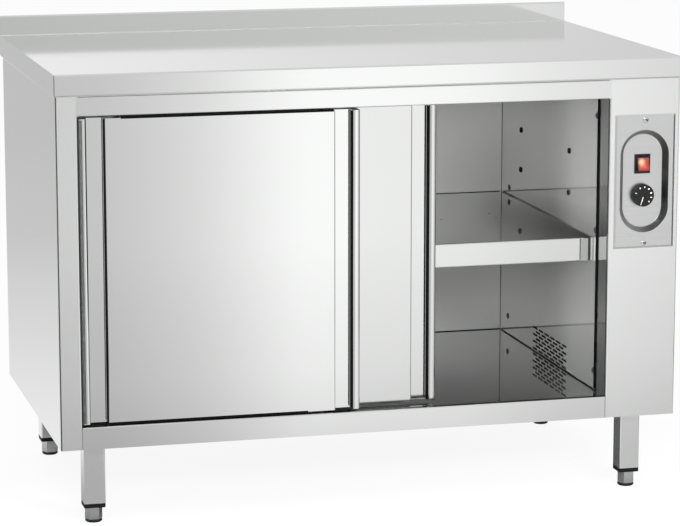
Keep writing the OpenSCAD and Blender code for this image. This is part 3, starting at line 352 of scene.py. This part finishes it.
def repeat(name, body, places, sizes, shape, material):
    """Sets one small shape at many places with Geometry Nodes, as one plain mesh that rides on a body.

    places holds points, the direction that the shape's +Z faces and its turn about it in degrees;
    shape(tree, sizes) draws it in the tree.
    """
    mesh = bpy.data.meshes.new(name)
    mesh.from_pydata([[c * MM for c in point] for point, _, _ in places], [], [])
    turn = mesh.attributes.new("turn", "FLOAT_VECTOR", "POINT")
    for value, (_, facing, spin) in zip(turn.data, places):
        about = Matrix.Rotation(math.radians(spin), 3, "Z").to_quaternion()
        value.vector = (Vector(facing).to_track_quat("Z", "Y") @ about).to_euler()
    points = bpy.data.objects.new(name + "_points", mesh)
    bpy.context.scene.collection.objects.link(points)

    tree = bpy.data.node_groups.new(name, "GeometryNodeTree")
    tree.interface.new_socket("Geometry", in_out="INPUT", socket_type="NodeSocketGeometry")
    keys = {size: tree.interface.new_socket(size, in_out="INPUT", socket_type="NodeSocketFloat").identifier
            for size in sizes}
    tree.interface.new_socket("Geometry", in_out="OUTPUT", socket_type="NodeSocketGeometry")
    given = add(tree, "NodeGroupInput")
    turned = add(tree, "GeometryNodeInputNamedAttribute", {"Name": "turn"}, data_type="FLOAT_VECTOR")
    rotation = add(tree, "FunctionNodeEulerToRotation", {"Euler": turned.outputs["Attribute"]})
    copies = add(tree, "GeometryNodeInstanceOnPoints", {
        "Points": given.outputs["Geometry"], "Instance": shape(tree, given.outputs),
        "Rotation": rotation.outputs["Rotation"]})
    real = add(tree, "GeometryNodeRealizeInstances", {"Geometry": copies.outputs["Instances"]})
    dressed = add(tree, "GeometryNodeSetMaterial", {"Geometry": real.outputs["Geometry"], "Material": material})
    add(tree, "NodeGroupOutput", {"Geometry": dressed.outputs["Geometry"]})

    modifier = points.modifiers.new("repeat", "NODES")
    modifier.node_group = tree
    for size, value in sizes.items():
        modifier[keys[size]] = value * MM
    evaluated = points.evaluated_get(bpy.context.evaluated_depsgraph_get())
    plain = bpy.data.meshes.new_from_object(evaluated)
    bpy.data.objects.remove(points)
    dress(name, plain, body)


def cross_recess(tree, sizes):
    """A cross recess: two crossed bars, wider at the middle."""
    length, width, height = sizes["Length"], sizes["Width"], sizes["Height"]
    wide = add(tree, "ShaderNodeMath", {0: width, 1: 0.9}, operation="MULTIPLY")
    middle = add(tree, "GeometryNodeMeshCylinder", {"Vertices": 12, "Radius": wide.outputs[0], "Depth": height})
    cross = add(tree, "GeometryNodeJoinGeometry")
    for across, along in ((length, width), (width, length)):
        size = add(tree, "ShaderNodeCombineXYZ", {X: across, Y: along, Z: height})
        arm = add(tree, "GeometryNodeMeshCube", {"Size": size.outputs[0]})
        tree.links.new(arm.outputs["Mesh"], cross.inputs["Geometry"])
    tree.links.new(middle.outputs["Mesh"], cross.inputs["Geometry"])
    return cross.outputs["Geometry"]


def dome(tree, sizes):
    """A low dome: a screw's pan head or the mark of a spot weld."""
    ball = add(tree, "GeometryNodeMeshUVSphere", {"Segments": 24, "Rings": 12, "Radius": sizes["Radius"]})
    share = add(tree, "ShaderNodeMath", {0: sizes["Rise"], 1: sizes["Radius"]}, operation="DIVIDE")
    squash = add(tree, "ShaderNodeCombineXYZ", {0: 1.0, 1: 1.0, 2: share.outputs[0]})
    flat = add(tree, "GeometryNodeTransform", {"Geometry": ball.outputs["Mesh"], "Scale": squash.outputs[0]})
    return add(tree, "GeometryNodeSetShadeSmooth", {"Geometry": flat.outputs["Geometry"]}).outputs["Geometry"]


def bush(tree, sizes):
    """A pressed-in bush round a hole: a rounded ring that stands off the sheet."""
    path = add(tree, "GeometryNodeCurvePrimitiveCircle", {"Resolution": 24, "Radius": sizes["Radius"]})
    section = add(tree, "GeometryNodeCurvePrimitiveCircle", {"Resolution": 10, "Radius": sizes["Wall"]})
    ring = add(tree, "GeometryNodeCurveToMesh", {
        "Curve": path.outputs["Curve"], "Profile Curve": section.outputs["Curve"]})
    return add(tree, "GeometryNodeSetShadeSmooth", {"Geometry": ring.outputs["Mesh"]}).outputs["Geometry"]


def dash(tree, sizes):
    """A printed dash, its length along +Y."""
    size = add(tree, "ShaderNodeCombineXYZ", {X: sizes["Width"], Y: sizes["Length"], Z: sizes["Height"]})
    return add(tree, "GeometryNodeMeshCube", {"Size": size.outputs[0]}).outputs["Mesh"]


def knob_places(angles, radius):
    """Places on the knob's face, each turned along its own radius."""
    x, z = middle_of("thermostat_knob", X), middle_of("thermostat_knob", Z)
    face = edge("thermostat_knob", Y, LOW)
    return [((x + radius * math.cos(math.radians(a)), face, z + radius * math.sin(math.radians(a))), FRONT, a - 90)
            for a in angles]


def control_details():
    """Heads and recesses of the two plate screws, and the knob's printed scale and pointer."""
    screw_inset, head_seat, head_rise = 10, 0.6, 2.6
    recess_depth = 0.05
    x, seat = middle_of("control_plate", X), edge("control_plate", Y, LOW) - head_seat
    heads = (edge("control_plate", Z, LOW) + screw_inset, edge("control_plate", Z, HIGH) - screw_inset)
    repeat("plate_screw_heads", "cabinet", [((x, seat, z), FRONT, 0) for z in heads],
           {"Radius": 5.4, "Rise": head_rise}, dome, polished)
    repeat("plate_screw_recesses", "cabinet",
           [((x, seat - head_rise + recess_depth, z), FRONT, 45) for z in heads],
           {"Length": 4.6, "Width": 1.3, "Height": 0.2}, cross_recess, recess)
    scale_angles, pointer_angle = (162, 117, 83, 50, 17, -14, -48), 253
    repeat("knob_scale", "knob", knob_places(scale_angles, 16.2),
           {"Width": 1.8, "Length": 2.8, "Height": 0.1}, dash, ink)
    repeat("knob_pointer", "knob", knob_places((pointer_angle,), 11.0),
           {"Width": 1.2, "Length": 16.0, "Height": 0.1}, dash, ink)


def wall_details():
    """Seats and recesses of the lining's screws, bushes of the pin holes, spot welds, and screws round the back."""
    screw_heights, screw_depths = (233.5, 509.8, 731.9), (-276, 265.8)
    hole_heights, hole_depths = (558.7, 641.7), (-116.3, 188.9)
    walls = ((edge("right_inner_wall", X, LOW), LEFT), (edge("left_inner_wall", X, HIGH), RIGHT))

    def on_walls(stand, depths, heights, spin=0):
        """Places on both walls that stand off them by some mm."""
        return [((x + stand * facing[X], y, z), facing, spin) for x, facing in walls for y in depths for z in heights]

    repeat("lining_screw_recesses", "cabinet", on_walls(1.6, screw_depths, screw_heights, 30),
           {"Length": 6.4, "Width": 2.2, "Height": 0.1}, cross_recess, recess)
    holes = on_walls(0.9, hole_depths, hole_heights)
    repeat("pin_hole_bushes", "cabinet", holes, {"Radius": 4.2, "Wall": 1.7}, bush, recess)
    repeat("pin_hole_bores", "cabinet", holes, {"Radius": 3.2, "Rise": 0.4}, dome, recess)
    repeat("lining_screw_seats", "cabinet", on_walls(0.3, screw_depths, screw_heights),
           {"Radius": 5.0, "Wall": 0.9}, bush, recess)

    weld_pitch, weld_reach, weld_rows = 115, 460, (0, 49)
    repeat("shelf_spot_welds", "shelf",
           [((x, y, edge("shelf", Z, HIGH)), UP, 0)
            for x in range(-weld_reach, weld_reach + 1, weld_pitch) for y in weld_rows],
           {"Radius": 3.2, "Rise": 0.12}, dome, spot_weld)

    side_x, side_z = 578, (175, 330, 485, 640, 790)
    row_x, row_z = (-390, -195, 0, 195, 390), (175, 790)
    rim = [(x, z) for x in (-side_x, side_x) for z in side_z] + [(x, z) for x in row_x for z in row_z]
    back, head_rise, recess_depth = edge("back_panel", Y, HIGH), 2.0, 0.02
    first_turn, next_turn = 20, 37
    repeat("back_screws", "cabinet", [((x, back, z), REAR, 0) for x, z in rim],
           {"Radius": 4.2, "Rise": head_rise}, dome, finishes["zinc_steel"])
    repeat("back_screw_recesses", "cabinet",
           [((x, back + head_rise - recess_depth, z), REAR, first_turn + next_turn * i)
            for i, (x, z) in enumerate(rim)],
           {"Length": 4.0, "Width": 1.0, "Height": 0.1}, cross_recess, recess)


def strips(name, body, runs, material):
    """Straight strips drawn up the object as one piece: runs holds outlines in the floor plane, foot and head."""
    points, faces = [], []
    for outline, foot, head in runs:
        area = sum(a[X] * b[Y] - b[X] * a[Y] for a, b in zip(outline, outline[1:] + outline[:1]))
        if area < 0:
            outline = outline[::-1]
        start, count = len(points), len(outline)
        points += [(x * MM, y * MM, z * MM) for z in (foot, head) for x, y in outline]
        low = range(start, start + count)
        faces += [tuple(low)[::-1], tuple(i + count for i in low)]
        for i, j in zip(low, (*low[1:], low[0])):
            faces.append((i, j, j + count, i + count))
    mesh = bpy.data.meshes.new(name)
    mesh.from_pydata(points, [], faces)
    mesh.materials.append(material)
    dress(name, mesh, body)


def bar(x0, x1, y0, y1):
    """Outline of a strip with square corners."""
    return [(x0, y0), (x1, y0), (x1, y1), (x0, y1)]


def ridge(x, front, half, rise, depth, taper):
    """Outline of a flat bead across a seam at x: rise in front of the sheet, depth into it and narrower there."""
    narrow = half - taper
    return [(x - half, front - rise), (x + half, front - rise), (x + narrow, front + depth),
            (x - narrow, front + depth)]


def corner_line(x, way, front, depth, width):
    """Outline of a line round an outer corner at x: way is the side it lies on, width its stretch on the front."""
    return [(x, front + depth), (x, front), (x - way * width, front)]


def round_strip(x, inward, start, end, thick):
    """Outline of a strip on a wall at x that faces inward, from its rounded front lip back to end."""
    arc = [(x + inward * thick * math.sin(a), start + thick * (1 - math.cos(a)))
           for a in [math.radians(d) for d in range(0, 91, 30)]]
    return [(x, end), *arc, (x + inward * thick, end)]


def door_trims():
    """Painted shade in black on the walls of the doors' finger grooves and in the front door's top and bottom gaps,
    and a grey painted reflection on the front door's nose.
    """
    nose, groove, groove_depth = 15, 33, 16
    trim_thick, trim_front, trim_bed = 0.8, 1.5, 0.03
    foot_gap, head_gap = 1.5, 2.0
    for door in ("front_door", "rear_door"):
        skin = door + "_skin"
        left, right, front = edge(skin, X, LOW), edge(skin, X, HIGH), edge(skin, Y, LOW)
        foot, head = edge(skin, Z, LOW) + foot_gap, edge(skin, Z, HIGH) - head_gap
        right_walls = (left + nose + groove, right - nose)
        # Painted shade: black strips on the grooves' right walls.
        strips(door + "_groove_shade", door, [
            (round_strip(x - trim_bed, -1, front + trim_front, front + groove_depth, trim_thick), foot, head)
            for x in right_walls], shade_black)

    left, right = edge("front_door_skin", X, LOW), edge("front_door_skin", X, HIGH)
    front, low, high = (edge("front_door_skin", Y, LOW), edge("front_door_skin", Z, LOW),
                        edge("front_door_skin", Z, HIGH))
    round_nose = ((0.1, 5.0), (-0.3, 4.4), (0.8, 1.8), (3.0, 0.0), (6.6, -0.5), (7.0, 0.1), (4.0, 0.7), (1.2, 2.4))
    # Painted reflection: a dark grey strip on the left of the front door's nose.
    strips("front_door_nose_shade", "front_door", [
        ([(left + x, front + y) for x, y in round_nose], low + foot_gap, high - head_gap)], nose_shade_grey)
    # Painted shade: black strips in the gaps above and below the front door.
    gap_shade_face, gap_shade_back = front - 0.2, front + 1.4
    lower_ends, upper_ends = (left + 49, right - 101), (left + 78, right - 51)
    lower = (bar(*lower_ends, gap_shade_face, gap_shade_back), low - 2.5, low + 1.9)
    upper = (bar(*upper_ends, gap_shade_face, gap_shade_back), high - 1.6, high + 3.6)
    strips("front_door_gap_shade", "front_door", [lower, upper], shade_black)


def lining_trims():
    """Painted shade: black strips at the inner walls' front edges, a dark line in the column's fold, and dark lines
    in the back corners and along the floor's rear edge.
    """
    right_wall, left_wall = edge("right_inner_wall", X, LOW), edge("left_inner_wall", X, HIGH)
    wall_front, wall_foot, wall_head = (edge("right_inner_wall", Y, LOW), edge("right_inner_wall", Z, LOW),
                                        edge("right_inner_wall", Z, HIGH))
    back, floor = edge("back_panel", Y, LOW), edge("floor_panel", Z, HIGH)
    opening_head = edge("top_rail", Z, LOW)
    walls = ((right_wall, -1), (left_wall, 1))

    trim_bed, trim_thick, trim_lead, trim_tail = 0.03, 0.9, 4.8, 6.5
    strips("lining_edge_shade", "cabinet", [
        (round_strip(x + way * trim_bed, way, wall_front - trim_lead, wall_front + trim_tail, trim_thick),
         wall_foot + 1.5, opening_head - 2) for x, way in walls], shade_black)
    column, column_front = edge("control_column", X, LOW), edge("control_column", Y, LOW)
    strips("column_fold_shade", "cabinet", [
        ([(column - 0.02, column_front + 2.6), (column - 0.4, column_front + 3.0), (column - 0.4, column_front + 7.0),
          (column - 0.02, column_front + 7.4)], edge("bottom_rail", Z, HIGH), opening_head - 1)], shade_line_dark)
    bead, bed = 1.0, 0.05
    strips("lining_corner_shade", "cabinet", [
        ([(x + way * bed, back - bed), (x + way * (bed + bead), back - bed), (x + way * bed, back - bead)],
         wall_foot + 1, wall_head - 1) for x, way in walls], shade_line_grey)
    strips("floor_rear_shade", "cabinet", [
        (bar(left_wall + 0.5, right_wall - 0.5, back - 1.4, back - 0.1), floor + 0.05, floor + 1.6)], shade_line_dark)


def shelf_edges():
    """The shelf's rear edge, darkened by painted shade, and the small lips that close the gap at both ends of its
    front apron.
    """
    left, right = edge("shelf", X, LOW), edge("shelf", X, HIGH)
    front, rear = edge("shelf", Y, LOW), edge("shelf", Y, HIGH)
    foot, top = edge("shelf", Z, LOW), edge("shelf", Z, HIGH)
    strips("shelf_rear_shade", "shelf", [
        (bar(left + 0.5, right - 0.5, rear - 0.6, rear + 0.5), top - 0.8, top + 1.0)], shade_line_dark)
    lip, lip_sheet, lip_bed, lip_gap = 3.9, 1.4, 0.1, 0.6
    strips("shelf_end_lips", "shelf", [
        (bar(x, x + lip, front, front + lip_sheet), foot + lip_gap, top - lip_gap)
        for x in (right - lip_bed, left + lip_bed - lip)], bright_shelf)


def slot_shade():
    """Painted shade: a black sheet close behind the vent slots that makes them dark."""
    slots_y, slots_z, near, far = (-119, 99), (199.1, 247.2), 1.12, 1.4
    wall = edge("right_inner_wall", X, LOW)
    strips("vent_slot_shade", "cabinet", [(bar(wall + near, wall + far, *slots_y), *slots_z)], shade_black)


def frame_seams():
    """Dressed and ground welds of the front frame; a painted highlight on the upstand's fold, painted light in the
    gap under the worktop's edge, and painted shade in dark lines at outer corners.
    """
    frame_front, seam, skin = edge("top_rail", Y, LOW), 0.4, 0.06
    stile, column = edge("left_stile", X, LOW), edge("control_column", X, HIGH)
    joints = (edge("control_column", X, LOW) - seam, edge("left_stile", X, HIGH) + seam)
    rail_foot, rail_head = edge("bottom_rail", Z, LOW), edge("bottom_rail", Z, HIGH)
    lintel, frame_head = edge("top_rail", Z, LOW), edge("top_rail", Z, HIGH)
    strips("dressed_welds", "cabinet", [
        (ridge(x, frame_front, half=1.5, rise=0.05, depth=0.1, taper=0.2), lintel + 0.2, frame_head - 0.1)
        for x in joints], polished)

    left, right = edge("worktop", X, LOW), edge("worktop", X, HIGH)
    upstand_thick, upstand_height = 10, 40
    upstand_front = edge("worktop", Y, HIGH) - upstand_thick
    surface = edge("worktop", Z, HIGH) - upstand_height
    # Painted highlight: a pale strip along the upstand's fold.
    strips("upstand_fold_highlight", "cabinet", [
        (bar(left + 0.5, right - 0.5, upstand_front - 1.6, upstand_front), surface - 0.1, surface + 1.3)],
        fold_highlight)
    # Painted light: a pale strip that fills the shadow of the gap under the worktop's front edge.
    strips("worktop_gap_light", "cabinet", [
        (bar(stile + 0.2, column - 0.2, frame_front + 0.05, frame_front + 0.8), frame_head - 0.1,
         edge("worktop", Z, LOW))], painted_gap_light)
    strips("ground_weld_lines", "cabinet", [
        (ridge(x, frame_front, half=0.5, rise=0.07, depth=0.2, taper=0.2), rail_foot + 1, rail_head - 0.5)
        for x in joints], ground_weld)

    # Painted shade: dark lines where the front turns round the stile's outer corner and the worktop's two front
    # corners.
    stile_line = (corner_line(stile - skin, -1, frame_front - skin, depth=1.56, width=2.4), rail_foot + 1,
                  frame_head - 0.5)
    top_front, top_foot = edge("worktop", Y, LOW), edge("worktop", Z, LOW)
    worktop_lines = [
        (corner_line(x + way * skin, way, top_front - skin, depth=1.06, width=1.2), top_foot + 2, surface - 1.5)
        for x, way in ((left, -1), (right, 1))]
    strips("outer_corner_shade", "cabinet", [stile_line, *worktop_lines], shade_line_dark)


control_details()
wall_details()
door_trims()
lining_trims()
shelf_edges()
slot_shade()
frame_seams()


# Stage: floor, lamps, world and camera

def bearing_share(tree, across, ahead):
    """The bearing of a point from straight ahead as a share of the round: -180 degrees is 0 and 180 is 1."""
    bearing = add(tree, "ShaderNodeMath", {0: across, 1: ahead}, operation="ARCTAN2")
    share = add(tree, "ShaderNodeMapRange", {
        "Value": bearing.outputs[0], "From Min": -math.pi, "From Max": math.pi})
    return share.outputs["Result"]


def tone_by_bearing(tree, across, ahead, tones, brightest=1.0):
    """Tones round a bearing: tones holds (degrees, tone), and brightest is what the ramp's 1 stands for."""
    stops = [((degrees + 180) / 360, tone / brightest) for degrees, tone in tones]
    return ramp(add(tree, "ShaderNodeValToRGB", {"Fac": bearing_share(tree, across, ahead)}), stops).outputs["Color"]


def tone_along(tree, distance, span, stops):
    """Tones along a distance: span is its start and end in metres, stops holds shares of it and tones."""
    share = add(tree, "ShaderNodeMapRange", {"Value": distance, "From Min": span[0], "From Max": span[1]})
    return ramp(add(tree, "ShaderNodeValToRGB", {"Fac": share.outputs["Result"]}), stops).outputs["Color"]


FLOOR_GLOW = 1.4  # what a tone of 1 on the floor's ramps stands for
POOL_FAN = (-1.0, 1.5)  # slopes across the pool of light, seen from the point that its rays leave
POOL = ((-1.0, 0.6), (-0.25, 0.6), (-0.1, 0.8), (0.125, 0.8), (0.15, 0.73), (0.174, 0.77), (0.206, 0.96),
        (0.243, 1.33), (0.300, 1.29), (0.335, 1.1), (0.384, 0.94), (0.55, 0.7), (1.5, 0.7))
FLOOR_FLAGS = ((-86, 1.0), (-80, 0.05), (-64, 0.05), (-56, 1.0), (50, 1.0), (58, 0.08), (78, 0.08), (86, 1.0))


def mirrored_floor(tree, at):
    """The floor as the metal sees it: a pool of light, the unlit studio beside it, dim paper behind, shade below."""
    x, y = at.outputs["X"], at.outputs["Y"]
    pool_x, pool_y, doors_y = -1.42, 4.95, -0.33
    across = add(tree, "ShaderNodeMath", {0: x, 1: -pool_x}, operation="ADD")
    away = add(tree, "ShaderNodeMath", {0: pool_y, 1: y}, operation="SUBTRACT")
    fan = add(tree, "ShaderNodeMath", {0: across.outputs[0], 1: away.outputs[0]}, operation="DIVIDE")
    low, high = POOL_FAN
    pool = tone_along(tree, fan.outputs[0], POOL_FAN, [
        ((slope - low) / (high - low), tone / FLOOR_GLOW) for slope, tone in POOL])
    fade = tone_along(tree, y, (-3.2, -0.6), [(0.0, 1.0), (0.64, 0.87), (0.77, 0.8), (1.0, 0.66)])
    lit = add(tree, "ShaderNodeMix", {MIX_FACTOR: 1.0, MIX_A: pool, MIX_B: fade}, data_type="RGBA",
              blend_type="MULTIPLY")

    ahead = add(tree, "ShaderNodeMath", {0: doors_y, 1: y}, operation="SUBTRACT").outputs[0]
    flags = tone_by_bearing(tree, x, ahead, FLOOR_FLAGS)
    ground = add(tree, "ShaderNodeCombineXYZ", {0: x, 1: ahead})
    reach = add(tree, "ShaderNodeVectorMath", {0: ground.outputs[0]}, operation="LENGTH")
    beyond = add(tree, "ShaderNodeMapRange", {"Value": reach.outputs["Value"], "From Min": 1.3, "From Max": 1.8})
    front = add(tree, "ShaderNodeMix", {
        MIX_FACTOR: beyond.outputs["Result"], MIX_A: lit.outputs[MIX_OUT], MIX_B: flags}, data_type="RGBA",
        blend_type="MULTIPLY")

    rear = tone_along(tree, y, (0.5, 5.0), [
        (share, tone / FLOOR_GLOW) for share, tone in ((0.0, 0.95), (0.2, 0.82), (0.51, 0.66), (1.0, 0.61))])
    behind = add(tree, "ShaderNodeMapRange", {"Value": y, "From Min": -0.3, "From Max": 0.3})
    open_floor = add(tree, "ShaderNodeMix", {
        MIX_FACTOR: behind.outputs["Result"], MIX_A: front.outputs[MIX_OUT], MIX_B: rear}, data_type="RGBA")

    half_width, half_depth = 0.6, 0.34
    shares = []
    for place, half in ((x, half_width), (y, half_depth)):
        side = add(tree, "ShaderNodeMath", {0: place}, operation="ABSOLUTE")
        shares.append(add(tree, "ShaderNodeMath", {0: side.outputs[0], 1: half}, operation="DIVIDE").outputs[0])
    out_of = add(tree, "ShaderNodeMath", {0: shares[X], 1: shares[Y]}, operation="MAXIMUM")
    under = add(tree, "ShaderNodeMapRange", {
        "Value": out_of.outputs[0], "From Min": 0.75, "From Max": 1.08, "To Min": 0.12, "To Max": 1.0})
    tone = add(tree, "ShaderNodeMix", {
        MIX_FACTOR: 1.0, MIX_A: open_floor.outputs[MIX_OUT], MIX_B: under.outputs["Result"]}, data_type="RGBA",
        blend_type="MULTIPLY")
    return tone.outputs[MIX_OUT]


def stage_floor():
    """A white paper floor: the camera sees it white with the cupboard's soft shadow, the metal an uneven light."""
    half, white_share = 14.0, 0.9
    mesh = bpy.data.meshes.new("paper_floor")
    mesh.from_pydata([(-half, -half, 0), (half, -half, 0), (half, half, 0), (-half, half, 0)], [], [(0, 1, 2, 3)])
    floor = bpy.data.objects.new("paper_floor", mesh)
    bpy.context.scene.collection.objects.link(floor)
    # Matt white paper: no sheen, only the shadow on it.
    material, out = new_material("white_paper")
    tree = material.node_tree
    at = add(tree, "ShaderNodeSeparateXYZ", {"Vector": add(tree, "ShaderNodeTexCoord").outputs["Object"]})
    mirrored = add(tree, "ShaderNodeEmission", {"Color": mirrored_floor(tree, at), "Strength": FLOOR_GLOW})
    paper = add(tree, "ShaderNodeBsdfDiffuse", {"Color": (0.85, 0.85, 0.85, 1)})
    white = add(tree, "ShaderNodeEmission", {"Color": (1, 1, 1, 1), "Strength": 1.0})
    ray = add(tree, "ShaderNodeLightPath")
    share = add(tree, "ShaderNodeMath", {0: ray.outputs["Is Camera Ray"], 1: white_share}, operation="MULTIPLY")
    seen = add(tree, "ShaderNodeMixShader", {0: share.outputs[0], 1: paper.outputs[0], 2: white.outputs[0]})
    both = add(tree, "ShaderNodeMixShader", {
        0: ray.outputs["Is Glossy Ray"], 1: seen.outputs[0], 2: mirrored.outputs[0]})
    tree.links.new(both.outputs[0], out.inputs["Surface"])
    mesh.materials.append(material)


def softbox(name, place, aim, size, power, mirrored, spread=180):
    """An area lamp at place, turned to aim; the metal mirrors it or a screen hides it from the metal.

    spread is the angle that a grid on the lamp lets through, in degrees.
    """
    lamp = bpy.data.lights.new(name, "AREA")
    lamp.shape, lamp.size, lamp.size_y, lamp.energy = "RECTANGLE", size[0], size[1], power
    lamp.spread = math.radians(spread)
    rig = bpy.data.objects.new(name, lamp)
    rig.location = place
    rig.visible_camera, rig.visible_glossy = False, mirrored
    rig.rotation_euler = (Vector(aim) - Vector(place)).to_track_quat("-Z", "Y").to_euler()
    bpy.context.scene.collection.objects.link(rig)


STUDIO_GLOW = 1.2  # what a tone of 1 on the studio's ramps stands for
STUDIO_RING = ((-180, 1.0), (-150, 0.95), (-86, 0.85), (-80, 0.06), (-64, 0.06), (-56, 0.6), (-30, 0.6), (-20, 0.8),
               (-6, 0.8), (3, 0.65), (9, 0.78), (15, 0.86), (30, 0.93), (50, 0.8), (58, 0.1), (78, 0.1), (86, 0.7),
               (140, 0.68), (159, 0.7), (171, 0.95), (180, 1.0))


def studio_world():
    """A pale studio: white to the camera, with unlit corners low down at the front left and right."""
    ring_top, dome_foot, dome_tone = 11, 24, 0.72
    world = bpy.data.worlds.new("studio")
    bpy.context.scene.world = world
    world.use_nodes = True
    tree = world.node_tree
    tree.nodes.clear()
    out = add(tree, "ShaderNodeOutputWorld")
    at = add(tree, "ShaderNodeSeparateXYZ", {"Vector": add(tree, "ShaderNodeTexCoord").outputs["Generated"]})
    ahead = add(tree, "ShaderNodeMath", {0: at.outputs["Y"], 1: -1.0}, operation="MULTIPLY")
    ring = tone_by_bearing(tree, at.outputs["X"], ahead.outputs[0], STUDIO_RING, STUDIO_GLOW)
    height = add(tree, "ShaderNodeMapRange", {
        "Value": at.outputs["Z"], "From Min": math.sin(math.radians(ring_top)),
        "From Max": math.sin(math.radians(dome_foot))})
    above = add(tree, "ShaderNodeMix", {
        MIX_FACTOR: height.outputs["Result"], MIX_A: ring, MIX_B: (dome_tone, dome_tone, dome_tone, 1)},
        data_type="RGBA")
    white = 1 / STUDIO_GLOW
    seen = add(tree, "ShaderNodeLightPath").outputs["Is Camera Ray"]
    colour = add(tree, "ShaderNodeMix", {
        MIX_FACTOR: seen, MIX_A: above.outputs[MIX_OUT], MIX_B: (white, white, white, 1)}, data_type="RGBA")
    light = add(tree, "ShaderNodeBackground", {"Color": colour.outputs[MIX_OUT], "Strength": STUDIO_GLOW})
    tree.links.new(light.outputs[0], out.inputs["Surface"])


def photo_camera():
    """The camera the photograph was taken with, solved from the corners of the worktop, carcass and opening."""
    photo_width_px, focal_px = 680, 2898.4
    place, yaw, pitch = (-1.3974, -5.4799, 1.4699), 14.509, 10.548
    lens = bpy.data.cameras.new("photo_camera")
    lens.sensor_width = 36.0
    lens.lens = focal_px * lens.sensor_width / photo_width_px
    camera = bpy.data.objects.new("photo_camera", lens)
    camera.location = place
    camera.rotation_euler = (math.radians(90 - pitch), 0, math.radians(-yaw))
    bpy.context.scene.collection.objects.link(camera)
    bpy.context.scene.camera = camera


stage_floor()
softbox("key_softbox", (-1.8, -2.6, 3.2), (0, 0, 0.4), (1.6, 1.6), power=60, mirrored=True)
softbox("fill_softbox", (-0.6, -2.7, 1.05), (0.35, 0.2, 0.55), (0.9, 0.4), power=40, mirrored=False)
softbox("inner_softbox", (0.72, -2.5, 1.2), (0.28, 0.3, 0.55), (0.6, 0.4), power=50, mirrored=False)
softbox("side_softbox", (-1.65, -1.55, 0.75), (0.45, -0.2, 0.6), (0.9, 0.5), power=6, mirrored=False, spread=40)
studio_world()
photo_camera()
bpy.context.scene.view_settings.view_transform = "Standard"
bpy.context.scene.cycles.glossy_bounces = 10  # the lining mirrors itself many times over
